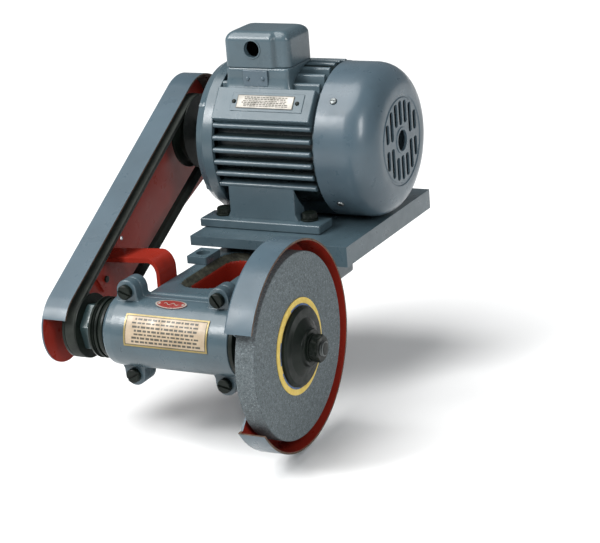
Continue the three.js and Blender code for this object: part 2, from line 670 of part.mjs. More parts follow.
function addMotorInside() {
  piece('stator_core', turned([
    [-184, 49], [-76, 49], [-76, 66], [-88, 73.5], [-172, 73.5], [-184, 66],
  ]), COPPER, motor);
  piece('rotor_core', ring([-172, -88], 18.3, 47.4), IRON, motor);
  const seat = SHAFT.journal;
  piece('rotor_shaft', turned([
    [PULLEY.left, 0], [PULLEY.left, MOTOR.shaft], [-222, MOTOR.shaft], [-222, seat], [-202.7, seat],
    [-202.7, 18], [-66, 18], [-66, seat], [-48, seat], [-48, 10], [-18, 10], [-18, 0],
  ], COARSE), STEEL, motor);
  piece('motor_pulley', groovedPulley(PULLEY.motorRadius, MOTOR.shaft + GAP), BLACKED, motor);
}

// ---------------------------------------------------------------- terminal box
function addTerminalBox() {
  const [x0, x1] = BOX.x;
  const [y0, y1] = BOX.y;
  const w = BOX.wall;
  const frameClearance = aroundMotorFrame();
  const base = cut(block(BOX.x, BOX.y, [210, BOX.joint]), frameClearance);
  const well = block([x0 + w, x1 - w], [y0 + w, y0 + 15], [BOX.joint - 12, BOX.joint + 1]);
  piece('terminal_box', cut(base, well), PAINT);

  const lidBottom = BOX.joint + GAP;
  const lidSide = roundedRectangle([y0, y1], [lidBottom - 12, BOX.top], 11);
  const lid = cut(prismX(lidSide, BOX.x, 2), block([x0 - 1, x1 + 1], [y0 - 1, y1 + 1], [0, lidBottom]));
  const inside = block([x0 + w, x1 - w], [y0 + w, y1 - w], [lidBottom - 1, BOX.top - w]);
  const conduit = rod('y', [-144.5, 264.7], 9.5, [y0 - 1, y0 + w + 1]);
  const hollowCorner = roundedRectangle([y0 + w, y1 - w], [lidBottom - 12, BOX.top - w], 8);
  const hollow = common(inside, prismX(hollowCorner, [x0 + w, x1 - w], 2));
  piece('terminal_lid', cut(lid, hollow, conduit), PAINT);

  piece('terminal_cover_plate', block([-157, -126], [y0 - GAP - 2.5, y0 - GAP], [222.5, 241]), PAINT);
}

// ---------------------------------------------------------------- assembly
addBracket();
addClampCap();
addCapScrews();
addSpindleCartridge();
addPlates();
addSpindleShaft();
addWheelAndFlanges();
addSpindlePulleyEnd();
addBelt();
addWheelGuard();
addBeltGuard();
addGuardSupport();
addMotorPlate();
addMotorFeet();
addMotorFrame();
addMotorEnds();
addFanEnd();
addMotorInside();
addTerminalBox();

export default part;
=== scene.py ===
"""Looks for the belt-driven grinding head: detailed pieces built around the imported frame.

Shapes are drawn in millimetres in the spindle's own coordinates (X along the spindle with the
wheel's outer face at 0, Y back to the motor, Z up) and placed by the frame's own boxes.
"""

import math

import bmesh
import bpy
from mathutils import Matrix, Vector


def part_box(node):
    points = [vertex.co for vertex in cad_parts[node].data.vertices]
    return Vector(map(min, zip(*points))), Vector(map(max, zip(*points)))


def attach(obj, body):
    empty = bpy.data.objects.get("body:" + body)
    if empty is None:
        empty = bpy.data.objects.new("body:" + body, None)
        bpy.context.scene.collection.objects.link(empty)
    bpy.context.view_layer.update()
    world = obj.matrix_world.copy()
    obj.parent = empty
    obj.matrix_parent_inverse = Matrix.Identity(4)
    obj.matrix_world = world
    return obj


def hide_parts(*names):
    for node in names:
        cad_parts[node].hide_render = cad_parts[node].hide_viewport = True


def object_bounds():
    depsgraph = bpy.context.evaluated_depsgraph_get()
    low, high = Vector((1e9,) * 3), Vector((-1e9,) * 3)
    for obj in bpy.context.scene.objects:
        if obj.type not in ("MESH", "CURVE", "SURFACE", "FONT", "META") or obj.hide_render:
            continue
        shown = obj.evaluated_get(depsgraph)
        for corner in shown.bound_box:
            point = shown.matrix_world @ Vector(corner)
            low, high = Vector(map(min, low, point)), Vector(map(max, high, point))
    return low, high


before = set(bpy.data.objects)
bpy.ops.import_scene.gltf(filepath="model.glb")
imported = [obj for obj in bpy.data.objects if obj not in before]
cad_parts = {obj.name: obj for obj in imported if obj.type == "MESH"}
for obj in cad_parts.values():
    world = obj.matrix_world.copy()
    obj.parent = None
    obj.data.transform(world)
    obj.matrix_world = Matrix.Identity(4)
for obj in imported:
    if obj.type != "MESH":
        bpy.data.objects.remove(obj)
CAD_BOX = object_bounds()

MM = 0.001
BODY = "head"
SPINDLE = "spindle"
ROTOR = "rotor"
GUARD = "wheel_guard_body"


# ------------------------------------------------------------------ where things are
def middle(node):
    low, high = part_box(node)
    return (low + high) / 2


ORIGIN = middle("grinding_wheel")
ORIGIN.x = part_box("grinding_wheel")[1].x
motor_axis = (middle("rotor_core") - ORIGIN) / MM
MOTOR = (0.0, motor_axis.y, motor_axis.z)

# ------------------------------------------------------------------ driving sizes, in millimetres
WHEEL_RADIUS, WHEEL_BACK = 100.0, -22.0
HOUSING_LEFT, HOUSING_RIGHT, HOUSING_RADIUS, HOUSING_BORE = -221.0, -64.0, 39.5, 31.3
HALF_SPLIT = 0.15  # half the gap between the clamp cap and the bracket
LUG_XS, LUG_Z, LUG_RADIUS, LUG_HOLE = (-198.0, -85.0), 48.0, 12.5, 5.3
ARM_LEFT, ARM_RIGHT, ARM_BOTTOM, ARM_TOP, ARM_END = -187.0, -92.0, -32.0, 40.0, 330.0
POCKET_LEFT, POCKET_RIGHT, POCKET_FRONT, POCKET_REAR, POCKET_FLOOR = -160.0, -123.0, 47.0, 158.0, -16.0
BELT_X, SPINDLE_PULLEY, MOTOR_PULLEY = -261.0, 36.0, 44.0
PULLEY_LEFT, PULLEY_RIGHT, GROOVE_DEPTH = -271.0, -253.3, 8.6
NOSE_END, NOSE_RADIUS = 31.0, 8.0
HOOD_BACK, HOOD_FRONT, HOOD_RADIUS, SHEET = -30.0, 1.8, 113.5, 2.5
MOUTH_TOP, MOUTH_BOTTOM = 47.5, -65.0
COLLAR_RADIUS = 30.3
CLAMP_X, CLAMP_Z = -40.0, -45.0  # the screw that clamps the wheel guard
GUARD_LEFT, GUARD_RIGHT, GUARD_SHEET = -292.0, -262.0, 2.0
TAB_BOLT, LEG_BOLT = (85.5, 23.0), (60.0, 10.0)  # (Y, Z) of the strap's bolts
PLATE_FRONT, PLATE_REAR, PLATE_LEFT, PLATE_RIGHT = 149.7, 385.0, -209.0, -11.0
FEET_UNDERSIDE = 60.8
FOOT_BOLTS = [(x, y) for y in (205.0, 345.0) for x in (-192.0, -82.0)]
FRAME_LEFT, FRAME_RIGHT, FRAME_RADIUS, FIN_RADIUS = -189.7, -66.0, 75.5, 90.0
PAD_LEAN = -37.5  # degrees by which the nameplate's pad faces up
CONDUIT_X, CONDUIT_Z, CONDUIT_RADIUS = -144.5, 264.7, 9.5


# ------------------------------------------------------------------ materials
class Shader:
    """A material with a few helpers for wiring procedural nodes."""

    def __init__(self, name, roughness=0.5, metallic=0.0, **sockets):
        self.material = bpy.data.materials.new(name)
        self.material.use_nodes = True
        self.tree = self.material.node_tree
        self.base = self.tree.nodes["Principled BSDF"]
        self.base.inputs["Roughness"].default_value = roughness
        self.base.inputs["Metallic"].default_value = metallic
        for socket, value in sockets.items():
            self.base.inputs[socket.replace("_", " ")].default_value = value
        coordinates = self.tree.nodes.new("ShaderNodeTexCoord")
        self.place = coordinates.outputs["Object"]

    def node(self, kind, **settings):
        made = self.tree.nodes.new(kind)
        for key, value in settings.items():
            setattr(made, key, value)
        return made

    def link(self, output, target):
        self.tree.links.new(output, target)

    def stretch(self, scale):
        mapping = self.node("ShaderNodeMapping")
        mapping.inputs["Scale"].default_value = scale
        self.link(self.place, mapping.inputs["Vector"])
        return mapping.outputs["Vector"]

    def noise(self, scale, detail=3.0, place=None, rough=0.55):
        made = self.node("ShaderNodeTexNoise")
        made.inputs["Scale"].default_value = scale
        made.inputs["Detail"].default_value = detail
        made.inputs["Roughness"].default_value = rough
        self.link(place or self.place, made.inputs["Vector"])
        return made.outputs["Fac"]

    def ramp(self, value, *stops):
        made = self.node("ShaderNodeValToRGB")
        elements = made.color_ramp.elements
        while len(elements) < len(stops):
            elements.new(0.5)
        for element, (position, colour) in zip(elements, stops):
            element.position = position
            if isinstance(colour, (int, float)):
                colour = (colour, colour, colour)
            element.color = (*colour, 1.0)
        self.link(value, made.inputs["Fac"])
        return made.outputs["Color"]

    def mix(self, factor, first, second, blend="MIX"):
        made = self.node("ShaderNodeMix", data_type="RGBA", blend_type=blend)
        for value, socket in ((factor, 0), (first, 6), (second, 7)):
            if isinstance(value, bpy.types.NodeSocket):
                self.link(value, made.inputs[socket])
            elif socket:
                made.inputs[socket].default_value = (*value, 1.0)
            else:
                made.inputs[socket].default_value = value
        return made.outputs[2]

    def colour(self, output):
        self.link(output, self.base.inputs["Base Color"])

    def rough(self, output):
        self.link(output, self.base.inputs["Roughness"])

    def bump(self, output, strength, distance):
        made = self.node("ShaderNodeBump")
        made.inputs["Strength"].default_value = strength
        made.inputs["Distance"].default_value = distance
        self.link(output, made.inputs["Height"])
        self.link(made.outputs["Normal"], self.base.inputs["Normal"])

    def convex(self, start, end):
        """1 along worn outer edges, 0 elsewhere."""
        geometry = self.node("ShaderNodeNewGeometry")
        return self.ramp(geometry.outputs["Pointiness"], (start, 0.0), (end, 1.0))

    def times(self, first, second):
        made = self.node("ShaderNodeMath", operation="MULTIPLY")
        for value, socket in ((first, 0), (second, 1)):
            if isinstance(value, bpy.types.NodeSocket):
                self.link(value, made.inputs[socket])
            else:
                made.inputs[socket].default_value = value
        return made.outputs[0]


def scaled(colour, factor):
    """A colour made lighter or darker."""
    return tuple(min(1.0, c * factor) for c in colour)


def enamel(name, colour, texture=0.25, grime=(0.020, 0.024, 0.022), gloss=0.22, specular=0.32):
    """Sprayed machine enamel: soft gloss, slight orange peel, clouds of tint and a little grime."""
    s = Shader(name, roughness=0.32, Coat_Weight=gloss, Coat_Roughness=0.16, Specular_IOR_Level=specular)
    tint = s.ramp(s.noise(14.0, 4.0), (0.3, scaled(colour, 0.86)), (0.7, scaled(colour, 1.12)))
    dirt = s.ramp(s.noise(38.0, 6.0, rough=0.7), (0.56, 0.0), (0.85, 0.30))
    specks = s.ramp(s.noise(420.0, 3.0), (0.70, 0.0), (0.76, 0.5))
    s.colour(s.mix(specks, s.mix(dirt, tint, grime), scaled(colour, 1.9)))
    s.rough(s.ramp(s.noise(60.0, 5.0), (0.3, 0.24), (0.75, 0.44)))
    s.bump(s.noise(900.0, 2.0), texture, 0.00025)
    return s.material


def machined(name, dark, light, roughness, along=(1.0, 1.0, 1.0)):
    """Turned or ground metal with fine tool marks."""
    s = Shader(name, roughness=roughness, metallic=1.0)
    marks = s.noise(900.0, 3.0, s.stretch(along))
    blotch = s.noise(45.0, 5.0)
    base = s.ramp(blotch, (0.3, dark), (0.72, light))
    s.colour(s.mix(s.times(marks, 0.35), base, scaled(light, 1.1)))
    s.rough(s.ramp(blotch, (0.3, roughness * 0.75), (0.75, min(1.0, roughness * 1.35))))
    s.bump(marks, 0.12, 0.0002)
    return s.material


def blacked(name):
    """Blacked, oiled steel that shines through on its edges."""
    s = Shader(name, roughness=0.42, Specular_IOR_Level=0.14)
    base = s.ramp(s.noise(55.0, 5.0), (0.3, (0.003, 0.005, 0.004)), (0.75, (0.009, 0.013, 0.010)))
    wear = s.times(s.convex(0.54, 0.63), s.ramp(s.noise(260.0, 4.0), (0.42, 0.0), (0.6, 0.6)))
    s.colour(s.mix(wear, base, (0.07, 0.075, 0.07)))
    s.rough(s.ramp(s.noise(120.0, 5.0), (0.3, 0.28), (0.75, 0.55)))
    s.bump(s.noise(1400.0, 3.0), 0.15, 0.0002)
    return s.material


def abrasive(name, edge=False):
    """Bonded grit: light and dark grains in a grey bond with open pores."""
    s = Shader(name, roughness=0.95)
    grains = s.node("ShaderNodeTexVoronoi", feature="F1")
    grains.inputs["Scale"].default_value = 1150.0
    s.link(s.place, grains.inputs["Vector"])
    separate = s.node("ShaderNodeSeparateColor")
    s.link(grains.outputs["Color"], separate.inputs["Color"])
    dark, mid, light = (0.055, 0.070, 0.076), (0.098, 0.118, 0.126), (0.175, 0.20, 0.21)
    speckle = s.ramp(separate.outputs["Red"], (0.0, dark), (0.45, mid), (0.86, mid), (1.0, light))
    cloud = s.ramp(s.noise(320.0, 4.0), (0.3, 0.70), (0.7, 1.18))
    mottled = s.mix(1.0, speckle, cloud, "MULTIPLY")
    shade = 0.80 if edge else 1.0
    s.colour(s.mix(1.0, mottled, (shade, shade, shade), "MULTIPLY"))
    s.bump(s.noise(1100.0, 4.0), 0.5, 0.0006)
    return s.material


def card(name):
    """Compressed card with a mottled print."""
    s = Shader(name, roughness=0.85)
    s.colour(s.ramp(s.noise(160.0, 5.0), (0.3, (0.50, 0.36, 0.075)), (0.72, (0.62, 0.47, 0.13))))
    s.bump(s.noise(1500.0, 2.0), 0.3, 0.0003)
    return s.material


def printed(name, low, high, roughness=0.45, metallic=0.0):
    """Ink or lacquer on a plate, a little faded and specked."""
    s = Shader(name, roughness=roughness, metallic=metallic)
    base = s.ramp(s.noise(70.0, 5.0), (0.3, low), (0.72, high))
    specks = s.ramp(s.noise(700.0, 3.0), (0.62, 0.0), (0.74, 0.35))
    s.colour(s.mix(specks, base, scaled(low, 0.5)))
    s.rough(s.ramp(s.noise(90.0, 4.0), (0.3, roughness * 0.7), (0.7, roughness * 1.3)))
    s.bump(s.noise(1200.0, 2.0), 0.1, 0.0002)
    return s.material


def rubber(name):
    """Fabric-wrapped belt rubber: a fine diagonal weave."""
    s = Shader(name, roughness=0.7, Specular_IOR_Level=0.2)
    weave = s.node("ShaderNodeTexWave", wave_type="BANDS", bands_direction="DIAGONAL")
    weave.inputs["Scale"].default_value = 520.0
    weave.inputs["Distortion"].default_value = 1.5
    s.link(s.place, weave.inputs["Vector"])
    base = s.ramp(s.noise(80.0, 5.0), (0.3, (0.006, 0.008, 0.007)), (0.75, (0.020, 0.024, 0.020)))
    s.colour(s.mix(s.times(weave.outputs["Fac"], 0.35), base, (0.026, 0.031, 0.026)))
    s.bump(weave.outputs["Fac"], 0.35, 0.0003)
    return s.material


def rough_iron(name, low, high):
    """As-cast or sawn metal left bare and dirty."""
    s = Shader(name, roughness=0.75, Specular_IOR_Level=0.2)
    s.colour(s.ramp(s.noise(150.0, 7.0, rough=0.7), (0.3, low), (0.7, high)))
    s.rough(s.ramp(s.noise(220.0, 4.0), (0.3, 0.5), (0.7, 0.9)))
    s.bump(s.noise(500.0, 6.0), 0.6, 0.0008)
    return s.material


def plastic(name, colour):
    """Moulded plastic with a fine grain."""
    s = Shader(name, roughness=0.45)
    s.colour(s.ramp(s.noise(90.0, 4.0), (0.3, scaled(colour, 0.8)), (0.7, scaled(colour, 1.2))))
    s.bump(s.noise(1800.0, 2.0), 0.25, 0.0002)
    return s.material


GREY = enamel("grey_enamel", (0.052, 0.080, 0.100))
GREY_CAST = enamel("grey_cast_enamel", (0.046, 0.073, 0.088), texture=0.45)
# Painted shade: a near-black enamel that darkens the grooves between the motor's fins.
GROOVE_SHADE = enamel("groove_painted_shade_enamel", (0.014, 0.022, 0.024), texture=0.5, gloss=0.1)
TEAL = enamel("dark_green_enamel", (0.022, 0.042, 0.044))
RED = enamel("red_enamel", (0.200, 0.017, 0.010), grime=(0.040, 0.008, 0.006), gloss=0.05, specular=0.12)
GREY_SHEET = enamel("grey_sheet_enamel", (0.048, 0.075, 0.094), gloss=0.10, specular=0.20)
# Painted shade: a near-black enamel for the inward faces of the belt guard's rim.
SHADED = enamel("guard_rim_painted_shade", (0.016, 0.012, 0.010), texture=0.5, gloss=0.05)
BLACK = blacked("blacked_steel")
STEEL = machined("turned_steel", (0.30, 0.31, 0.32), (0.55, 0.56, 0.57), 0.28, (6.0, 1.0, 1.0))
PLATED = machined("plated_screws", (0.06, 0.07, 0.07), (0.16, 0.17, 0.17), 0.35)
IRON = rough_iron("bare_cast_iron", (0.008, 0.009, 0.007), (0.050, 0.050, 0.036))
SHEARED = rough_iron("sheared_edge", (0.035, 0.020, 0.013), (0.13, 0.085, 0.06))
WHEEL_FACE = abrasive("abrasive_face")
WHEEL_EDGE = abrasive("abrasive_edge", edge=True)
CARD = card("yellow_card")
CARD_BLUE = printed("card_blue_print", (0.055, 0.105, 0.22), (0.09, 0.15, 0.30), 0.8)
CREAM = printed("cream_print", (0.25, 0.19, 0.12), (0.36, 0.285, 0.20))
GOLD = printed("gold_border", (0.16, 0.12, 0.035), (0.26, 0.20, 0.07), 0.35, 0.3)
# Dark ink for print; on the wheel card it is also painted shadow round the flange.
INK_AND_SHADOW = printed("dark_ink_and_painted_shadow", (0.030, 0.028, 0.020), (0.060, 0.052, 0.036), 0.5)
BADGE_RED = printed("badge_red", (0.14, 0.012, 0.009), (0.19, 0.020, 0.014), 0.3)
PALE_METAL = printed("pale_plate", (0.19, 0.18, 0.155), (0.32, 0.30, 0.27), 0.45, 0.3)
BELT = rubber("belt_rubber")
PLASTIC = plastic("black_plastic", (0.018, 0.017, 0.016))
COPPER = machined("windings", (0.20, 0.08, 0.03), (0.40, 0.18, 0.07), 0.4)


# ------------------------------------------------------------------ 2-D outlines
def arc(cx, cy, radius, start, end, steps):
    """Points of an arc, angles in degrees."""
    points = []
    for i in range(steps + 1):
        angle = math.radians(start + (end - start) * i / steps)
        points.append((cx + radius * math.cos(angle), cy + radius * math.sin(angle)))
    return points


def filleted(corners, steps=4):
    """A closed outline of (x, y, fillet radius) corners with its corners rounded."""
    outline = []
    count = len(corners)
    for i, (x, y, radius) in enumerate(corners):
        here = Vector((x, y))
        if radius <= 0:
            outline.append((x, y))
            continue
        before = Vector(corners[i - 1][:2]) - here
        after = Vector(corners[(i + 1) % count][:2]) - here
        half = before.angle(after) / 2
        reach = min(radius / math.tan(half), before.length * 0.49, after.length * 0.49)
        start, end = here + before.normalized() * reach, here + after.normalized() * reach
        for k in range(steps + 1):
            t = k / steps
            point = start * (1 - t) ** 2 + here * 2 * t * (1 - t) + end * t * t
            outline.append((point.x, point.y))
    return outline


def rectangle(x0, x1, y0, y1, radius=0.0, steps=4):
    return filleted([(x0, y0, radius), (x1, y0, radius), (x1, y1, radius), (x0, y1, radius)], steps)


def circle(cx, cy, radius, steps=48):
    return arc(cx, cy, radius, 0, 360, steps)[:-1]


# ------------------------------------------------------------------ meshes
AXES = {
    "x": Matrix(((0, 0, 1, 0), (1, 0, 0, 0), (0, 1, 0, 0), (0, 0, 0, 1))),
    "y": Matrix(((1, 0, 0, 0), (0, 0, 1, 0), (0, 1, 0, 0), (0, 0, 0, 1))),
    "z": Matrix.Identity(4),
}


def outward(bm):
    bmesh.ops.recalc_face_normals(bm, faces=bm.faces)
    return bm


def skinned(loops):
    """A closed skin through loops of as many points each, capped at both ends."""
    bm = bmesh.new()
    rings = [[bm.verts.new(point) for point in loop] for loop in loops]
    bm.faces.new(rings[0])
    bm.faces.new(rings[-1])
    for lower, upper in zip(rings, rings[1:]):
        for i in range(len(lower)):
            j = (i + 1) % len(lower)
            bm.faces.new((lower[i], lower[j], upper[j], upper[i]))
    return bm


def prism(outline, axis, low, high):
    """A straight prism. The outline's plane is (Y, Z), (X, Z) or (X, Y) for axis x, y or z."""
    bm = skinned([[(u, v, depth) for u, v in outline] for depth in (low, high)])
    bm.transform(AXES[axis])
    return outward(bm)


def stack(levels):
    """A solid through a stack of (outline, z) levels with equal point counts, lowest first."""
    return outward(skinned([[(x, y, z) for x, y in outline] for outline, z in levels]))


def hoop(x, radius, sides):
    """Points of a circle about the X axis."""
    angles = [2 * math.pi * k / sides for k in range(sides)]
    return [(x, radius * math.cos(a), radius * math.sin(a)) for a in angles]


def lathe(profile, sides=96):
    """A closed profile of (x, radius) points turned about the X axis."""
    bm = bmesh.new()
    rings = []
    for x, radius in profile:
        points = hoop(x, radius, sides) if radius > 1e-6 else [(x, 0, 0)]
        rings.append([bm.verts.new(point) for point in points])
    for i, ring in enumerate(rings):
        other = rings[(i + 1) % len(rings)]
        if len(ring) == 1 and len(other) == 1:
            continue
        for k in range(sides):
            m = (k + 1) % sides
            quad = [ring[k % len(ring)], ring[m % len(ring)], other[m % len(other)], other[k % len(other)]]
            bm.faces.new(list(dict.fromkeys(quad)))
    return outward(bm)


def turned(corners, sides=96):
    """A turned piece from (x, radius, fillet) corners."""
    return lathe(filleted(corners), sides)


def block(x0, x1, y0, y1, z0, z1):
    return prism(rectangle(x0, x1, y0, y1), "z", z0, z1)


def rod(axis, u, v, radius, low, high, steps=40):
    """A round bar along an axis, at (u, v) in the plane across it."""
    return prism(circle(u, v, radius, steps), axis, low, high)


def beveled(bm, width, limit=30.0, segments=3):
    """Rounds the edges that turn by more than limit degrees."""
    edges = [e for e in bm.edges if len(e.link_faces) == 2 and e.calc_face_angle(0) > math.radians(limit)]
    bmesh.ops.bevel(bm, geom=edges, offset=width, offset_type="OFFSET", segments=segments,
                    profile=0.5, affect="EDGES", clamp_overlap=True)
    return bm


def joined(*parts):
    """Several meshes as one, without merging them."""
    whole = bmesh.new()
    for part in parts:
        mesh = bpy.data.meshes.new("scratch")
        part.to_mesh(mesh)
        whole.from_mesh(mesh)
        bpy.data.meshes.remove(mesh)
        part.free()
    return whole


def moved(bm, x=0.0, y=0.0, z=0.0):
    bmesh.ops.translate(bm, verts=bm.verts, vec=(x, y, z))
    return bm


def turn(bm, axis, degrees, centre=(0, 0, 0)):
    rotation = Matrix.Rotation(math.radians(degrees), 3, axis)
    bmesh.ops.rotate(bm, verts=bm.verts, cent=centre, matrix=rotation)
    return bm


def as_object(bm, name="scratch"):
    mesh = bpy.data.meshes.new(name)
    bm.to_mesh(mesh)
    bm.free()
    scratch = bpy.data.objects.new(name, mesh)
    bpy.context.scene.collection.objects.link(scratch)
    return scratch


def drop(*objects):
    for obj in objects:
        mesh = obj.data
        bpy.data.objects.remove(obj)
        bpy.data.meshes.remove(mesh)


def evaluated(obj):
    """The mesh of an object after its modifiers, as a bmesh; the object goes."""
    graph = bpy.context.evaluated_depsgraph_get()
    graph.update()
    mesh = bpy.data.meshes.new_from_object(obj.evaluated_get(graph))
    bm = bmesh.new()
    bm.from_mesh(mesh)
    bpy.data.meshes.remove(mesh)
    drop(obj)
    return bm


def combine(base, tools, operation):
    """Boolean of one mesh with others, which are used up."""
    target = as_object(base)
    helpers = [as_object(tool) for tool in tools]
    for helper in helpers:
        modifier = target.modifiers.new("combine", "BOOLEAN")
        modifier.operation = operation
        modifier.solver = "EXACT"
        modifier.object = helper
    bm = evaluated(target)
    drop(*helpers)
    bmesh.ops.remove_doubles(bm, verts=bm.verts, dist=1e-4)
    return bm


def cut(base, *tools):
    return combine(base, tools, "DIFFERENCE")


def merged(base, *tools):
    return combine(base, tools, "UNION")


def cast_skin(bm, rounds):
    """Melts a crisp solid into the soft-cornered skin of a casting."""
    obj = as_object(bm)
    remesh = obj.modifiers.new("remesh", "REMESH")
    remesh.mode = "VOXEL"
    remesh.voxel_size = 1.5
    smooth = obj.modifiers.new("smooth", "SMOOTH")
    smooth.factor = 0.5
    smooth.iterations = rounds
    return evaluated(obj)


def place(name, bm, materials, body, replaces=None, slot=None, shift=(0, 0, 0), choose=None,
          smooth=35.0, weighted=True):
    """Makes a piece of the object from a mesh in millimetres. choose picks a face's material."""
    limit = math.radians(smooth)
    for face in bm.faces:
        face.smooth = True
        if choose:
            face.material_index = choose(face.calc_center_median(), face.normal)
    for edge in bm.edges:
        if len(edge.link_faces) != 2 or edge.calc_face_angle(0) > limit:
            edge.smooth = False
    bm.transform(Matrix.Translation(ORIGIN) @ Matrix.Scale(MM, 4) @ Matrix.Translation(Vector(shift)))
    mesh = bpy.data.meshes.new(name)
    bm.to_mesh(mesh)
    bm.free()
    for material in materials if isinstance(materials, (list, tuple)) else [materials]:
        mesh.materials.append(material)
    piece = bpy.data.objects.new(name, mesh)
    bpy.context.scene.collection.objects.link(piece)
    if weighted:
        normals = piece.modifiers.new("weighted_normals", "WEIGHTED_NORMAL")
        normals.keep_sharp = True
    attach(piece, body)
    if replaces:
        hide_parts(*([replaces] if isinstance(replaces, str) else replaces))
    return piece


def place_black(name, bm, body, replaces=None, **options):
    return place(name, bm, BLACK, body, replaces, "blacked_steel", **options)


def place_cast(name, bm, replaces=None, **options):
    return place(name, bm, GREY_CAST, BODY, replaces, "grey_paint", **options)


# ------------------------------------------------------------------ spindle housing and bracket
def housing_tube():
    return turned([
        (HOUSING_LEFT, HOUSING_BORE, 0.5), (HOUSING_LEFT, 32.5, 1.5), (HOUSING_LEFT + 4.5, 38.6, 5),
        (HOUSING_LEFT + 14, HOUSING_RADIUS, 4), (HOUSING_RIGHT, HOUSING_RADIUS, 1.5),
        (HOUSING_RIGHT, HOUSING_BORE, 0.5),
    ])


def lug(x, side, y0, y1):
    """An ear for a clamp screw: a half-round tip on a foot that spreads into the tube."""
    flare = [(19, 33), (15, 37), (LUG_RADIUS + 0.3, 42)]
    profile = [(x + u, side * z) for u, z in flare]
    profile += [(x + LUG_RADIUS * math.cos(a), side * (LUG_Z + LUG_RADIUS * math.sin(a)))
                for a in (math.pi * k / 16 for k in range(17))]
    profile += [(x - u, side * z) for u, z in reversed(flare)]
    return beveled(prism(profile, "y", y0, y1), 1.6)


def lugs(y0, y1):
    return [lug(x, side, y0, y1) for x in LUG_XS for side in (1, -1)]


def lug_holes():
    return [rod("y", x, side * LUG_Z, LUG_HOLE, -30, 30, 24) for x in LUG_XS for side in (1, -1)]


def clamp_cap():
    body = merged(housing_tube(), *lugs(-12, 6))
    body = cut(body, block(-400, 100, -HALF_SPLIT, 100, -100, 100), *lug_holes())
    place_cast("clamp_cap_cast", beveled(body, 0.5, 50, 2), "clamp_cap")


def pocket_outline(grow=0.0):
    return rectangle(POCKET_LEFT - grow, POCKET_RIGHT + grow, POCKET_FRONT - grow, POCKET_REAR + grow,
                     18 + grow, 8)


def sloped_rim():
    """The roughly chamfered edge of the pocket, wide at the top and narrow below."""
    levels = ((-0.2, 30.0), (0.6, 32.5), (9.5, 40.2), (10.5, 60.0))
    return stack([(pocket_outline(grow), z) for grow, z in levels])


def near_pocket(point, reach):
    return (POCKET_LEFT - reach < point.x < POCKET_RIGHT + reach
            and POCKET_FRONT - reach < point.y < POCKET_REAR + reach)


def bracket_solid():
    """Rear half of the housing and the arm, with the pocket, the stud slots and the hollow tail."""
    arm = prism(rectangle(ARM_LEFT, ARM_RIGHT, ARM_BOTTOM, ARM_TOP, 5.0), "y", 14, ARM_END)
    neck = block(ARM_LEFT + 1, ARM_RIGHT - 1, HALF_SPLIT, 24, ARM_BOTTOM + 1, ARM_TOP - 2)
    rear_pad = block(ARM_LEFT + 1, ARM_RIGHT - 1, 291, ARM_END - 1, ARM_TOP - 2, 48.6)
    body = merged(housing_tube(), arm, neck, rear_pad, *lugs(-6, 14))
    slots = [prism(rectangle(-150.5, -132.5, y0, y1, 8.9, 6), "z", -40, -10)
             for y0, y1 in ((60, 94), (126, 154))]
    body = cut(body, block(-400, 100, -100, HALF_SPLIT, -100, 100),
               prism(pocket_outline(), "z", POCKET_FLOOR, 60),
               block(ARM_LEFT + 10, ARM_RIGHT - 10, 178, 318, -40, 28),
               rod("x", 0, 0, HOUSING_BORE, -230, -50, 64))
    return cut(body, sloped_rim(), *slots, rod("x", *LEG_BOLT, 4.3, -190, -172, 20), *lug_holes())


def bracket():
    skin = cast_skin(bracket_solid(), 3)

    def region(centre, normal):
        """Red inside the pocket, bare iron on its sloped rim, paint elsewhere."""
        if not near_pocket(centre, 12) or centre.z < POCKET_FLOOR - 2:
            return 0
        if centre.z < 32.3:
            return 1
        return 2 if centre.z < 39.3 else 0

    for vertex in skin.verts:
        x, y, z = vertex.co
        if near_pocket(vertex.co, 11) and 31.5 < z < 39.6:
            rough = (math.sin(y * 1.9), math.sin(x * 2.3), math.sin(x * 1.7 + y * 2.1))
            vertex.co += Vector(rough) * 0.55

    place("bracket_cast", skin, [GREY_CAST, RED, IRON], BODY,
          ("bracket_casting", "bracket_arm", "bracket_tail"), "grey_paint",
          choose=region, smooth=60, weighted=False)


def clamp_lug():
    x, y = -181, 129
    lug_block = prism(rectangle(x - 13, x + 13, y - 17, y + 17, 2.5), "z", ARM_TOP, ARM_TOP + 9)
    place_cast("clamp_lug", beveled(cut(lug_block, rod("z", x, y, 8, 40.5, 52)), 0.8, 40, 2))
    place_black("clamp_lug_screw", beveled(rod("z", x, y, 6.2, 40.2, 44.5, 6), 0.5), BODY)


def cap_screws():
    slot_angles = iter((20, -28, 55, 12))
    number = 0
    for x in LUG_XS:
        for side in (1, -1):
            number += 1
            head = turned([(0, 0, 0), (0, 8, 0.3), (-5.2, 8, 0.9), (-6, 6.8, 0.6), (-6, 0, 0)], 48)
            head = moved(turn(head, "Z", 90), 0, -12.3, 0)
            head = cut(head, turn(block(-10, 10, -20, -15.9, -1.25, 1.25), "Y", next(slot_angles)))
            screw = moved(joined(head, rod("y", 0, 0, 5, -12.4, 13, 24)), x, 0, side * LUG_Z)
            place_black(f"cap_screw_{number}_head", screw, BODY, f"cap_screw_{number}")


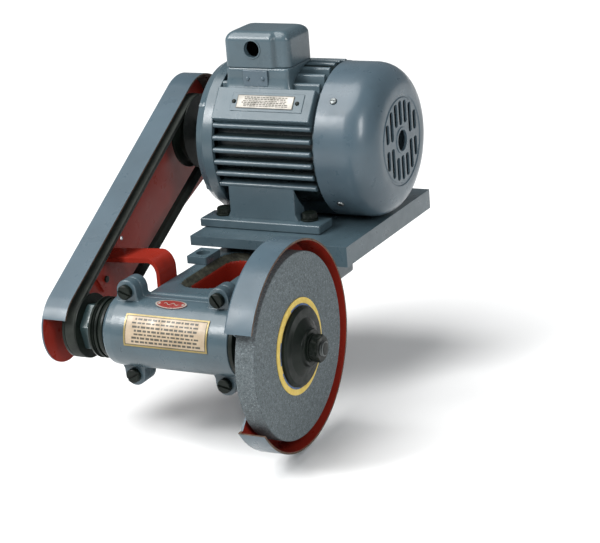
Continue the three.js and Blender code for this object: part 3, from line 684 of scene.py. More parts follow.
# ------------------------------------------------------------------ printed plates
def wrapped_sheet(x0, x1, a0, a1, radius, thickness, cell, choose, inside=None):
    """A thin sheet curved about the spindle axis, built of small cells; angles from -Y upwards."""
    columns = round((x1 - x0) / cell)
    rows = round(math.radians(a1 - a0) * radius / cell)
    bm = bmesh.new()
    grid = {}

    def corner(i, j, lift):
        if (i, j, lift) not in grid:
            angle = math.radians(a0 + (a1 - a0) * j / rows)
            r = radius + lift
            x = x0 + (x1 - x0) * i / columns
            grid[i, j, lift] = bm.verts.new((x, -r * math.cos(angle), r * math.sin(angle)))
        return grid[i, j, lift]

    kept = {(i, j) for i in range(columns) for j in range(rows)
            if inside is None or inside((i + 0.5) / columns, (j + 0.5) / rows)}
    for i, j in sorted(kept):
        spots = [(i, j), (i + 1, j), (i + 1, j + 1), (i, j + 1)]
        top = bm.faces.new([corner(a, b, thickness) for a, b in spots])
        top.material_index = choose((i + 0.5) / columns, (j + 0.5) / rows)
        bm.faces.new([corner(a, b, 0.0) for a, b in reversed(spots)])
        for k, (di, dj) in enumerate(((0, -1), (1, 0), (0, 1), (-1, 0))):
            if (i + di, j + dj) not in kept:
                p, q = spots[k], spots[(k + 1) % 4]
                bm.faces.new([corner(*q, thickness), corner(*p, thickness), corner(*p, 0.0), corner(*q, 0.0)])
    return outward(bm)


def ruled(u, v, rows):
    """True on plain ruled bars that stand in for print; rows are (v middle, half height, u ranges)."""
    return any(abs(v - at) < half and any(a < u < b for a, b in spans) for at, half, spans in rows)


def print_rows(heights, half, seed):
    """Rows of plain bars of varied length with narrow gaps, standing in for lines of print."""
    rows = []
    for index, height in enumerate(heights):
        u = 0.08 + 0.05 * abs(math.sin(seed + index * 2.4))
        spans = []
        k = 0
        while u < 0.90 - 0.05 * abs(math.cos(seed + index * 1.7)):
            width = 0.022 + 0.035 * abs(math.sin(seed * 3.1 + index * 5.3 + k * 1.9))
            spans.append((u, min(u + width, 0.93)))
            u += width + 0.012
            k += 1
        rows.append((height, half, spans))
    return rows


LABEL_ROWS = print_rows((0.84, 0.72, 0.60, 0.49, 0.38, 0.27, 0.16), 0.030, 1.0)


def to_edge(u, v, width, height):
    """Distance in millimetres from a point of a plate to its nearest edge; u and v run from 0 to 1."""
    return min(u * width, (1 - u) * width, v * height, (1 - v) * height)


def label():
    def choose(u, v):
        edge = to_edge(u, v, 102, 36)
        if edge < 2.0:
            return 1
        return 2 if edge < 2.9 or ruled(u, v, LABEL_ROWS) else 0

    sheet = wrapped_sheet(-190, -88, -4, 47, HOUSING_RADIUS + 0.25, 0.7, 0.45, choose)
    place("label_sheet", sheet, [CREAM, GOLD, INK_AND_SHADOW], BODY, "label_plate", "printed_plate", weighted=False)


def badge():
    def oval(u, v):
        return math.hypot((u - 0.5) / 0.5, (v - 0.5) / 0.5)

    def choose(u, v):
        if oval(u, v) > 0.88:
            return 1
        on_rivet = math.hypot((abs(u - 0.5) - 0.38) * 38, (v - 0.5) * 14) < 1.5
        flourish = abs(v - 0.5 - 0.10 * math.sin((u - 0.5) * 26)) < 0.035 and abs(u - 0.5) < 0.24
        return 1 if on_rivet or flourish else 0

    sheet = wrapped_sheet(-162, -124, 62, 82.3, HOUSING_RADIUS + 0.2, 0.9, 0.36, choose,
                          lambda u, v: oval(u, v) < 1.0)
    place("badge_oval", sheet, [BADGE_RED, PALE_METAL], BODY, "badge_plate", "red_paint", weighted=False)


# ------------------------------------------------------------------ spindle line
def end_covers():
    bore = 13.5
    front = turned([
        (-63.7, bore, 0.3), (-63.7, 39, 0.8), (-58.7, 39, 0.8), (-58, 30.3, 1.2), (-35.5, 30, 0.6),
        (-35.5, bore, 0.4),
    ])
    place("front_cover_turned", front, BLACK, BODY, "front_end_cover", "bare_iron")
    rear = turned([
        (-228, bore, 0.3), (-228, 32, 1.0), (-224, 33.5, 1.0), (-221.3, 33.5, 0.4), (-221.3, bore, 0.3),
    ])
    place_black("rear_cover_turned", rear, BODY, "rear_end_cover")


def threaded(x0, x1, radius, pitch=1.5, depth=0.9, sides=64):
    """A rod with thread-like grooves: a zigzag profile turned about the X axis."""
    profile = [(x0, 0)]
    x = x0
    while x < x1 - pitch:
        profile += [(x, radius), (x + pitch * 0.5, radius - depth)]
        x += pitch
    profile += [(x, radius), (x1 - 0.8, radius), (x1, radius - 1.2), (x1, 0)]
    return lathe(profile, sides)


def shaft():
    body = turned([
        (PULLEY_LEFT, 0, 0), (PULLEY_LEFT, 11, 0.6), (-239, 11, 0.2), (-239, 12.5, 0.4), (-196.7, 12.5, 0.3),
        (-196.7, 15, 0.4), (-84.3, 15, 0.4), (-84.3, 12.5, 0.3), (-34.4, 12.5, 0.3), (-34.4, 12, 0.3),
        (15, 12, 0.4), (15, 7, 0.2), (16, 0, 0),
    ], 64)
    front, back = NOSE_END + 0.02, NOSE_END - 0.1
    # painted shade: a thin black disc on the nose's end stands in for the shaded centre recess
    centre_hole_shade = turned([(front, 0, 0), (front, 3.2, 0.1), (back, 3.2, 0.1), (back, 0, 0)], 32)

    def finish(centre, normal):
        """Bright where it is covered, plated on the thread, and black on the end disc, which is painted shade
        for the centre recess.
        """
        if centre.x < 14:
            return 0
        return 2 if centre.x > NOSE_END - 0.05 else 1

    whole = joined(body, threaded(14, NOSE_END, NOSE_RADIUS), centre_hole_shade)
    place("spindle_turned", whole, [STEEL, PLATED, BLACK], SPINDLE, "spindle_shaft", "bright_steel",
          choose=finish)


def wheel():
    body = turned([
        (WHEEL_BACK, 16, 0.4), (WHEEL_BACK, WHEEL_RADIUS, 1.1), (0, WHEEL_RADIUS, 0.9), (0, 16, 0.4),
    ], 160)

    def face_or_edge(centre, normal):
        return 1 if math.hypot(centre.y, centre.z) > WHEEL_RADIUS - 1.5 else 0

    place("wheel_abrasive", body, [WHEEL_FACE, WHEEL_EDGE], SPINDLE, "grinding_wheel", "abrasive",
          choose=face_or_edge)


def wheel_label():
    """Card ring with a dark middle, which is painted shadow for the gap round the flange, and two interrupted
    blue bands.
    """
    bm = bmesh.new()
    radii = [30, 40, 43.4, 44.4, 45.4, 48.2, 50.0, 51.5]
    sides = 180
    back, front = 0.25, 1.25
    top = [[bm.verts.new(point) for point in hoop(front, r, sides)] for r in radii]
    under = [[bm.verts.new(point) for point in hoop(back, r, sides)] for r in (radii[0], radii[-1])]
    spans = ((20, 34), (78, 16), (100, 38), (160, 9))
    patches = {k for start, length in spans for k in range(start, start + length)}
    for k in range(sides):
        m = (k + 1) % sides
        for band in range(len(radii) - 1):
            face = bm.faces.new((top[band][k], top[band + 1][k], top[band + 1][m], top[band][m]))
            # painted shadow: the card goes dark up to just beyond the flange's rim
            if radii[band] < 43:
                face.material_index = 2
            elif radii[band] < 45 and k in patches:
                face.material_index = 1 if radii[band] < 44 or k % 7 < 5 else 2
        bm.faces.new((under[0][k], under[0][m], under[1][m], under[1][k]))
        bm.faces.new((top[0][m], under[0][m], under[0][k], top[0][k]))
        bm.faces.new((top[-1][k], under[1][k], under[1][m], top[-1][m]))
    place("wheel_card", outward(bm), [CARD, CARD_BLUE, INK_AND_SHADOW], SPINDLE, "wheel_label_ring", "yellow_card",
          weighted=False)


def flanges():
    bore, radius = 12.3, 43
    inner = turned([
        (-34, bore, 0.3), (-34, 20, 0.8), (-27, 20, 1.0), (-27, radius, 0.8), (WHEEL_BACK - 0.3, radius, 0.4),
        (WHEEL_BACK - 0.3, 15.7, 0.2), (-6, 15.7, 0.4), (-6, bore, 0.2),
    ])
    place_black("inner_flange_turned", inner, SPINDLE, "inner_flange")
    outer = turned([
        (1.6, bore, 0.2), (1.6, radius, 0.4), (4.6, radius, 1.2), (6.4, 40, 1.0), (7.2, 31, 3.0),
        (12.8, 20.6, 2.0), (16, 19.6, 0.8), (16, bore, 0.4),
    ])
    place_black("outer_flange_turned", outer, SPINDLE, "outer_flange")


def hexagon(axis, u, v, across, low, high, chamfer=1.2, angle=0.0):
    """A hexagonal nut or head, its corners turned off at both ends."""
    radius, half = across / math.sqrt(3), across / 2
    cone = lathe([(low, 0), (low, half), (low + chamfer, radius + 0.3), (high - chamfer, radius + 0.3),
                  (high, half), (high, 0)], 48)
    head = combine(prism(circle(0, 0, radius, 6), "x", low, high), [cone], "INTERSECT")
    turn(head, "X", angle)
    if axis == "y":
        turn(head, "Z", 90)
    if axis == "z":
        turn(head, "Y", -90)
    shift = {"x": (0, u, v), "y": (u, 0, v), "z": (u, v, 0)}[axis]
    return moved(head, *shift)


def wheel_nut():
    blanks = (hexagon("x", 0, 0, 26, 17.8, 28, 1.4, 12),
              turned([(16.2, 0, 0), (16.2, 15.5, 0.4), (17.7, 15.5, 0.4), (17.7, 0, 0)], 64))
    nut_and_washer = [cut(blank, rod("x", 0, 0, NOSE_RADIUS + 0.3, 10, 40, 48)) for blank in blanks]
    place_black("wheel_nut_hex", joined(*nut_and_washer), SPINDLE, "wheel_nut")


def grooved(radius, bore):
    """A one-groove pulley with soft lips."""
    root = radius - GROOVE_DEPTH
    return turned([
        (PULLEY_LEFT, bore, 0.3), (PULLEY_LEFT, radius, 1.2), (BELT_X - 6.4, radius, 0.5),
        (BELT_X - 3.5, root, 0.5), (BELT_X + 3.5, root, 0.5), (BELT_X + 6.4, radius, 0.3),
        (PULLEY_RIGHT, radius, 0.5), (PULLEY_RIGHT, bore, 0.3),
    ])


def pulleys():
    place_black("spindle_pulley_turned", grooved(SPINDLE_PULLEY, 11.3), SPINDLE, "spindle_pulley")
    place_black("motor_pulley_turned", grooved(MOTOR_PULLEY, 12.3), ROTOR, "motor_pulley", shift=MOTOR)


def lock_nut():
    collar = turned([(-253, 11.3, 0.3), (-253, 28, 1.2), (-239.3, 28, 1.2), (-239.3, 11.3, 0.3)])
    flats = [turn(block(-254, -243.5, 24.6, 40, -20, 20), "X", 60 * k + 15) for k in range(6)]
    place("lock_nut_collar", cut(collar, *flats), TEAL, SPINDLE, "pulley_lock_nut", "dark_paint")


def dust_ring():
    bore, crest, root = 12.8, 34, 31.4
    ring = turned([
        (-239, bore, 0.2), (-239, 33.4, 0.7), (-236.2, crest, 0.5), (-235.4, root, 0.3), (-234.4, root, 0.3),
        (-233.6, crest, 0.5), (-232.8, root, 0.3), (-231.8, root, 0.3), (-231, crest, 0.5),
        (-228.6, 33.4, 0.5), (-228.6, bore, 0.2),
    ])
    place_black("dust_ring_turned", ring, SPINDLE, "dust_ring")


# ------------------------------------------------------------------ belt
def belt_points(inset):
    """(Y, Z) points of a loop that runs inset inside both pulleys' rims."""
    steps, straight = 48, 24
    lean = math.degrees(math.atan2(MOTOR[2], MOTOR[1]))
    spread = math.degrees(math.acos((SPINDLE_PULLEY - MOTOR_PULLEY) / math.hypot(MOTOR[1], MOTOR[2])))
    near = arc(MOTOR[1], MOTOR[2], MOTOR_PULLEY - inset, lean - spread, lean + spread, steps)
    far = arc(0, 0, SPINDLE_PULLEY - inset, lean + spread, lean - spread + 360, steps)
    runs = []
    for start, end in ((near[-1], far[0]), (far[-1], near[0])):
        runs.append([(start[0] + (end[0] - start[0]) * k / straight,
                      start[1] + (end[1] - start[1]) * k / straight) for k in range(1, straight)])
    return near + runs[0] + far + runs[1]


def belt():
    right = [(5.7, 0.0), (6, 0.3), (6, 1.2), (3.5, 7.6), (3.1, 8.0)]  # (half width, depth below the rim)
    left = [(-x, inset) for x, inset in reversed(right)]
    section = left[-2:] + right + left[:-2]
    bm = bmesh.new()
    loops = [[bm.verts.new((BELT_X + dx, y, z)) for y, z in belt_points(inset)] for dx, inset in section]
    for a in range(len(section)):
        first, second = loops[a], loops[(a + 1) % len(section)]
        for k in range(len(first)):
            m = (k + 1) % len(first)
            bm.faces.new((first[k], first[m], second[m], second[k]))
    place("belt_wrapped", outward(bm), BELT, BODY, "belt", "belt_rubber", weighted=False)


# ------------------------------------------------------------------ wheel guard
def guard_hood():
    """A rim folded round from a back plate, open at the front where the wheel meets the work."""
    lining, plate = HOOD_RADIUS - SHEET, HOOD_BACK + SHEET
    hood = turned([
        (HOOD_BACK, COLLAR_RADIUS, 0.2), (HOOD_BACK, HOOD_RADIUS, 3.2), (HOOD_FRONT, HOOD_RADIUS, 0.3),
        (HOOD_FRONT, lining, 0.3), (plate, lining, 1.5), (plate, COLLAR_RADIUS, 0.2),
    ], 160)
    mouth = block(plate, 10, -140, -70, MOUTH_BOTTOM, MOUTH_TOP)
    back_mouth = prism([(-140, MOUTH_TOP), (-95, MOUTH_TOP), (-60, 22), (-60, -40), (-85, MOUTH_BOTTOM),
                        (-140, MOUTH_BOTTOM)], "x", -40, -27)
    return cut(hood, mouth, back_mouth)


def guard_hub():
    """Split collar with two ears, which the clamp screw draws together."""
    hub = turned([(-48, COLLAR_RADIUS, 0.3), (-48, 37, 0.8), (-29, 37, 0.3), (-29, COLLAR_RADIUS, 0.3)])
    ears = beveled(block(-46, -34, -10, 10, -53, -35), 1.5)
    return cut(merged(hub, ears), block(-60, -28, -1.5, 1.5, -60, -20),
               rod("y", CLAMP_X, CLAMP_Z, 3.4, -20, 20, 24))


def wheel_guard():
    def choose(centre, normal):
        """Grey outside, red inside, bare along the sheared edges."""
        radial = (normal.y * centre.y + normal.z * centre.z) / max(math.hypot(centre.y, centre.z), 1e-6)
        if centre.x < HOOD_BACK - 0.2:
            return 0
        front_edge = abs(normal.x) > 0.9 and centre.x > HOOD_FRONT - 0.3
        mouth_edge = (abs(normal.z) > 0.97 and abs(abs(centre.y) - 98) < 16
                      and MOUTH_BOTTOM - 5 < centre.z < MOUTH_TOP + 2.5 and abs(radial) < 0.8)
        if front_edge or mouth_edge:
            return 2
        return 1 if radial < -0.5 or (normal.x > 0.5 and centre.x < -20) else 0

    place("wheel_guard_sheet", joined(guard_hood(), guard_hub()), [GREY_SHEET, RED, SHEARED], GUARD,
          "wheel_guard", "grey_paint", choose=choose)
    head = hexagon("y", CLAMP_X, CLAMP_Z, 9.6, -16.3, -10.3, 0.8, 10)
    place_black("guard_clamp_bolt", joined(head, rod("y", CLAMP_X, CLAMP_Z, 3, -11, 12, 20)), GUARD,
                "guard_clamp_screw")


# ------------------------------------------------------------------ belt guard and strap
SLOPE = 29.7  # degrees, the lean of the guard's front edge
TOP, REAR = (300.0, 154.0), (315.0, 130.0)  # (Y, Z) centres of the upper end's two arcs
LOW_RADIUS = 44.0


def guard_outline(inset):
    """A teardrop round both pulleys: two arcs of one radius above, one round the spindle below."""
    steps = 28
    slope = math.radians(SLOPE)
    top_radius = LOW_RADIUS + TOP[0] * math.sin(slope) - TOP[1] * math.cos(slope)
    front = 90 + SLOPE
    rear = 90 + math.degrees(math.atan2(REAR[1] - TOP[1], REAR[0] - TOP[0]))
    span = math.hypot(*REAR)
    under = math.degrees(math.atan2(REAR[1], REAR[0]) - math.acos((LOW_RADIUS - top_radius) / span))
    upper = arc(TOP[0], TOP[1], top_radius - inset, front, rear, steps)
    lower = arc(REAR[0], REAR[1], top_radius - inset, rear, under, steps)
    end = arc(0, 0, LOW_RADIUS - inset, under, front - 360, steps)
    return upper + lower + end


def belt_guard():
    inside = GUARD_LEFT + GUARD_SHEET
    body = cut(prism(guard_outline(0), "x", GUARD_LEFT, GUARD_RIGHT),
               prism(guard_outline(GUARD_SHEET), "x", inside, -250))
    below = [(-90, 18), (10, 18), (330, 158), (420, 158), (420, -120), (-90, -120)]
    open_side = prism(below, "x", inside, -250)
    holes = [rod("x", y, z, radius, -300, -280, sides)
             for y, z, radius, sides in ((295, 145, 32, 72), (132, 57.5, 2.5, 24), (*TAB_BOLT, 3.3, 24))]
    body = beveled(cut(body, open_side, *holes), 0.35, 50, 1)

    def choose(centre, normal):
        """Grey outside, red on the back plate, painted shade on the rim's inner faces, bare on the cut edges.
        """
        if centre.x > GUARD_RIGHT - 0.3 and normal.x > 0.3:
            return 2
        if normal.x > 0.6 and centre.x < -280:
            return 1
        if centre.x > inside + 0.5 and abs(normal.x) < 0.5:
            outwards = Vector((0, centre.y - 150, centre.z - 82)).normalized()
            flat_cut = normal.z < -0.95 and centre.y < 0
            # inward-facing rim faces get the painted shade (material 3)
            return 2 if flat_cut else (3 if normal.dot(outwards) < 0 else 0)
        return 0

    place("belt_guard_sheet", body, [GREY_SHEET, RED, SHEARED, SHADED], BODY, "belt_guard", "grey_paint",
          choose=choose)


def strap():
    """Flat bar from the guard's back, sloping up and bent down to the arm, with a bolting tab."""
    thickness, bend, slope, start_z = 5.5, 17.0, 10.0, 51
    x0, x1 = -289.7, -187.3
    lean = math.radians(slope)
    cx = x1 - bend
    cz = start_z + (cx - bend * math.sin(lean) - x0) * math.tan(lean) - bend * math.cos(lean)
    side = [(x0, start_z)] + arc(cx, cz, bend, 90 + slope, 0, 16) + [(x1, -4), (x1 - thickness, -4)]
    side += arc(cx, cz, bend - thickness, 0, 90 + slope, 16) + [(x0, start_z - thickness / math.cos(lean))]
    shift = -0.36 * (x1 - x0)
    plan = [(x0, 78), (x1, 78 + shift), (x1, 115 + shift), (x0, 115)]
    bar = combine(prism(side, "y", 20, 140), [prism(plan, "z", -30, 90)], "INTERSECT")
    corners = [(80, 50, 0), (64, 35, 3), (80, 8, 6), (93, 10, 5), (98, 22, 3), (98, 50, 0)]
    body = cut(merged(bar, prism(filleted(corners), "x", x0, x0 + 3)),
               rod("x", *TAB_BOLT, 3.3, -295, -280, 24), rod("x", *LEG_BOLT, 4.3, -200, -180, 24))
    place("guard_strap", beveled(body, 0.7, 40, 2), RED, BODY, "guard_support_arm", "red_paint")


def strap_bolts():
    head = beveled(rod("x", *TAB_BOLT, 4, -286.4, -284.5, 32), 0.6)
    nut = hexagon("x", *TAB_BOLT, 10.4, -297, -292.3, 0.8)
    shank = rod("x", *TAB_BOLT, 3, -296, -285, 20)
    place_black("tab_screw", joined(head, nut, shank), BODY, "support_tab_screw")
    bolt = hexagon("x", *LEG_BOLT, 12.1, -198.1, -193.1, 0.8, 20)
    place_black("leg_bolt", joined(bolt, rod("x", *LEG_BOLT, 4, -194, -177, 20)), BODY, "support_leg_bolt")


# ------------------------------------------------------------------ motor plate and feet
def bolt_holes():
    return [rod("z", x, y, 5.3, 30, 80, 24) for x, y in FOOT_BOLTS]


def motor_plate():
    sheet = block(PLATE_LEFT, PLATE_RIGHT, PLATE_FRONT, PLATE_REAR, 49, 60.5)
    flange = block(PLATE_RIGHT - 25, PLATE_RIGHT, PLATE_FRONT, PLATE_REAR, 37, 50)
    body = cut(merged(sheet, flange), *bolt_holes())
    place_cast("motor_plate_planed", beveled(body, 0.9, 40, 2), "motor_plate")
    column = turned([(40.3, 0, 0), (40.3, 27, 0.8), (48.7, 27, 0.8), (48.7, 0, 0)], 72)
    column = moved(turn(column, "Y", -90), -160, 200, 0)
    place("column_turned", column, IRON, BODY, "plate_column", "bare_iron")


def motor_feet():
    for name, side in (("front", -1), ("rear", 1)):
        y = MOTOR[1] + side * 73.5
        rail = beveled(block(-214, -60, y - 17.5, y + 17.5, FEET_UNDERSIDE, 71), 1.6)
        y0, y1 = (y - 6.5, y + 17.5) if side < 0 else (y - 17.5, y + 6.5)
        corners = [(-183, 70, 0), (-91, 70, 0), (-95, 78, 3), (-95, 113, 2), (-179, 113, 2), (-179, 78, 3)]
        web = beveled(prism(filleted(corners), "y", y0, y1), 1.4)
        body = cut(merged(rail, web), motor_drum(FIN_RADIUS - 0.5), *bolt_holes())
        place_cast(f"motor_foot_{name}_cast", body, f"motor_foot_{name}")


def foot_bolts():
    for index, (x, y) in enumerate(FOOT_BOLTS):
        washer = turned([(0, 0, 0), (0, 10, 0.4), (2, 10, 0.4), (2, 0, 0)], 48)
        head = hexagon("z", x, y, 15.6, 73.3, 80.3, 1.0, (10, 40, 25, 5)[index])
        bolt = joined(moved(turn(washer, "Y", -90), x, y, 71.3), head)
        place_black(f"foot_bolt_{index + 1}_hex", bolt, BODY, f"foot_bolt_{index + 1}")


# ------------------------------------------------------------------ motor
def motor_drum(radius):
    """A cylinder about the motor's axis, for cutting what stands against the motor."""
    return moved(rod("x", 0, 0, radius, -240, -40, 96), 0, MOTOR[1], MOTOR[2])


def above_plate(body):
    """Flattens a motor piece where it would reach below the feet."""
    for vertex in body.verts:
        vertex.co.z = max(vertex.co.z, FEET_UNDERSIDE - MOTOR[2])
    return body


def fin(across, angle, root, tip):
    """One cooling fin along the motor: tapered, with a full round along its tip."""
    half_root, half_tip = 4.8, 3.0
    turns = [math.pi * (k / 8 - 0.5) for k in range(9)]
    round_tip = [(tip - half_tip + half_tip * math.cos(t), half_tip * math.sin(t)) for t in turns]
    section = [(root, -half_root), *round_tip, (root, half_root)]
    blade = beveled(prism(section, "x", FRAME_LEFT, FRAME_RIGHT), 0.9, 60, 2)
    return turn(moved(blade, 0, 0, across), "X", angle)


def fins():
    """Fins in rows; a fin's tip points to +Y until 180 degrees turns it forward, 90 up or 270 down."""
    def reach(offset):
        return math.sqrt(FIN_RADIUS ** 2 - offset ** 2)

    front = [fin(-z, 180, 60, reach(z)) for z in range(-40, 31, 14)]
    rear = [fin(z, 0, 52, reach(z)) for z in range(-54, 59, 14)]
    top = [fin(-y, 90, 62, reach(y)) for y in range(-50, 49, 14)]
    bottom = [fin(y, 270, 70, FIN_RADIUS - 2) for y in (-16, 0, 16)]
    return front + rear + top + bottom


def motor_frame():
    tube = turned([
        (FRAME_LEFT, 74, 0.3), (FRAME_LEFT, FRAME_RADIUS, 0.3), (FRAME_RIGHT, FRAME_RADIUS, 0.3),
        (FRAME_RIGHT, 74, 0.3),
    ], 120)
    pad = cut(block(FRAME_LEFT, FRAME_RIGHT, -93.2, -70, -22, 18),
              rod("x", 0, 0, FRAME_RADIUS + 1.5, -200, -50, 96))
    plinth = beveled(block(-168, -77, -94.0, -90, -11.5, 11.5), 0.8)
    body = joined(tube, *fins(), turn(beveled(pad, 1.8, 40, 3), "X", PAD_LEAN), turn(plinth, "X", PAD_LEAN))

    # Painted shade: faces close to the frame's drum, down between the fins, take the near-black groove
    # enamel, except on the rear side.
    def in_fin_shade(centre, normal):
        return 1 if math.hypot(centre.y, centre.z) < FRAME_RADIUS + 1.5 and centre.y < 60 else 0

    place("motor_frame_cast", above_plate(body), [GREY_CAST, GROOVE_SHADE], BODY, "motor_frame", "grey_paint",
          shift=MOTOR, choose=in_fin_shade)


NAME_ROWS = print_rows((0.84, 0.70, 0.56, 0.43, 0.30, 0.17), 0.040, 2.0)


def nameplate():
    """A thin plate of small cells on the leaning pad, ruled where print would be, and its screws."""
    bm = bmesh.new()
    columns, rows = 170, 44
    x0, x1, v0, v1, y = -160.5, -89, -8.0, 8.0, -94.3
    grid = [[bm.verts.new((x0 + (x1 - x0) * i / columns, y, v0 + (v1 - v0) * j / rows))
             for j in range(rows + 1)] for i in range(columns + 1)]
    for i in range(columns):
        for j in range(rows):
            face = bm.faces.new((grid[i][j], grid[i + 1][j], grid[i + 1][j + 1], grid[i][j + 1]))
            u, v = (i + 0.5) / columns, (j + 0.5) / rows
            border = to_edge(u, v, 72, 16) < 0.8
            face.material_index = 1 if border or ruled(u, v, NAME_ROWS) else 0
    raised = bmesh.ops.extrude_face_region(bm, geom=list(bm.faces))["geom"]
    bmesh.ops.translate(bm, vec=(0, -0.5, 0), verts=[g for g in raised if isinstance(g, bmesh.types.BMVert)])
    screws = []
    for x in (-164.5, -84.5):
        head = turned([(0, 0, 0), (0, 2.6, 0.1), (-0.8, 2.4, 0.6), (-1.4, 1.2, 0.6), (-1.5, 0, 0)], 24)
        screws.append(moved(turn(head, "Z", 90), x, -94.0, 0))
    place("nameplate_ruled", turn(outward(bm), "X", PAD_LEAN), [PALE_METAL, INK_AND_SHADOW], BODY, "nameplate",
          "bright_steel", shift=MOTOR, weighted=False)
    place("nameplate_screws", turn(joined(*screws), "X", PAD_LEAN), BLACK, BODY, None, "bright_steel",
          shift=MOTOR)


def end_shields():
    drive = turned([
        (-190, 84, 0.5), (-190, 90, 1.0), (-203, 90, 3), (-206, 88, 2), (-214, 84, 4), (-220, 72, 6),
        (-222, 52, 6), (-224, 34, 2), (-228, 32, 1), (-228, 13.5, 0.5), (-221, 13.5, 0.3),
        (-221, 26.3, 0.3), (-202, 26.3, 0.3), (-202, 33, 1), (-216, 60, 3), (-204, 84, 2),
    ], 120)
    bosses = []
    for angle in (35, 145, 215, 325):
        ear = beveled(rod("x", 82, 0, 7.5, -208, -190.4, 28), 1.2)
        bolt = hexagon("x", 82, 0, 8.5, -213, -208, 0.7, 15)
        bosses += [turn(ear, "X", angle), turn(bolt, "X", angle)]
    body = above_plate(joined(drive, *bosses))
    outermost = FIN_RADIUS + 0.5
    for vertex in body.verts:
        radius = math.hypot(vertex.co.y, vertex.co.z)
        if radius > outermost:
            vertex.co.y *= outermost / radius
            vertex.co.z *= outermost / radius
    place_cast("drive_shield_cast", body, "drive_end_shield", shift=MOTOR)
    fan_end = turned([
        (-65.7, 26.3, 0.3), (-65.7, 84, 1), (-60, 84, 2), (-58, 34, 2), (-47, 33, 1), (-47, 26.3, 0.3),
    ])
    place_cast("fan_shield_cast", fan_end, "fan_end_shield", shift=MOTOR)


def grille_slots():
    """Seven columns of slots, each split above and below the centre, inside a circle."""
    slots = []
    for column in range(-3, 4):
        y = column * 12.5
        near, far = (17.5 if abs(y) < 20 else 4), math.sqrt(46.0 ** 2 - y * y)
        for low, high in ((near, far), (-far, -near)):
            slots.append(prism(rectangle(y - 4.2, y + 4.2, low, high, 4.1, 5), "x", -10, 12))
    return slots


def dome(radius, face, shoulder):
    """Quarter ellipse from the cowl's straight side to its flat face."""
    rim, steps = 57.0, 16
    return [(shoulder + (face - shoulder) * math.sin(t), rim + (radius - rim) * math.cos(t), 0)
            for t in (math.pi / 2 * k / steps for k in range(steps + 1))]


def fan_cowl():
    inner = [(x, r, 0) for x, r, _ in reversed(dome(86.5, 4.8, -27.5))]
    outer = dome(88.5, 6.9, -27.0)
    face = [(6.9, 52.6, 0.5), (5.9, 51.4, 0.5), (5.9, 49.6, 0.5), (6.9, 48.4, 0.5), (6.9, 0, 0)]
    cover = turned([(4.8, 0, 0), *inner, (-62, 86.5, 0.3), (-62, 88.5, 0.8), *outer, *face], 144)
    body = cut(cover, rod("x", 0, 0, 12, -10, 12, 48), *grille_slots())
    rim = turned([(6.8, 12.2, 0.2), (6.8, 15.6, 0.4), (7.9, 14.8, 0.5), (7.9, 12.2, 0.4)], 64)
    body = above_plate(joined(body, rim))
    place("fan_cowl_pressed", body, GREY, BODY, "fan_cowl", "grey_paint", shift=MOTOR)


def cowl_screws():
    for number, angle in enumerate((42, 138, 222, 318), 1):
        head = cut(turned([(0, 0, 0), (0, 4.2, 0.3), (1.8, 3.6, 0.9), (2.4, 0, 0)], 32),
                   block(1.3, 4, -5, 5, -0.5, 0.5))
        head = turn(moved(turn(head, "Z", 270), -43.5, -88.6, 0), "X", -angle)
        place(f"cowl_screw_{number}_head", head, PLATED, BODY, f"cowl_screw_{number}", "bright_steel",
              shift=MOTOR)


def fan():
    blades = [turn(beveled(block(-42.5, -24, 18, 68, -1.4, 1.4), 0.6), "X", 60 * k + 10) for k in range(6)]
    disc = turned([
        (-45, 10.3, 0.2), (-45, 68, 0.8), (-42, 68, 0.8), (-41, 22, 3), (-20, 20, 1), (-20, 10.3, 0.3),
    ])
    place("fan_moulded", joined(disc, *blades), PLASTIC, ROTOR, "cooling_fan", "black_plastic", shift=MOTOR)


def rotor_shaft():
    body = turned([
        (PULLEY_LEFT, 0, 0), (PULLEY_LEFT, 12, 0.8), (-222, 12, 0.3), (-222, 12.5, 0.3),
        (-202.7, 12.5, 0.3), (-202.7, 18, 0.5), (-66, 18, 0.5), (-66, 12.5, 0.3), (-48, 12.5, 0.3),
        (-48, 10, 0.3), (-18, 10, 0.8), (-18, 0, 0),
    ], 64)
    place("rotor_shaft_turned", body, STEEL, ROTOR, "rotor_shaft", "bright_steel", shift=MOTOR)


# ------------------------------------------------------------------ terminal box
def lid_shape(x0, x1, y0, y1, low, high):
    """Lid with a boss for the conduit standing forward on its left, and a soft rounded top."""
    round_off = 11.0
    heights = [(0.6, low), (0.0, low + 0.8)]
    heights += [(round_off * (1 - math.cos(t)), high - round_off + round_off * math.sin(t))
                for t in (math.pi / 2 * k / 7 for k in range(8))]
    levels = []
    for inset, z in heights:
        step, recess = x1 - 20 - inset * 0.4, y0 + 4.5 + inset * 0.7
        corners = [(x0 + inset, y0 + inset, 7), (step, y0 + inset, 4), (step + 4, recess, 3),
                   (x1 - inset, recess + 0.5, 9), (x1 - inset, y1 - inset, 7), (x0 + inset, y1 - inset, 7)]
        levels.append((filleted(corners, 5), z))
    return stack(levels)


def from_wheel(point):
    """A point of the frame, in metres, as millimetres from the middle of the wheel's outer face."""
    return [(value - start) / MM for value, start in zip(point, ORIGIN)]


box_low, box_high = (from_wheel(corner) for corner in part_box("terminal_box"))
BOX_SIDES = (box_low[0], box_high[0], box_low[1], box_high[1])
BOX_JOINT = box_high[2]
LID_TOP = from_wheel(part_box("terminal_lid")[1])[2]


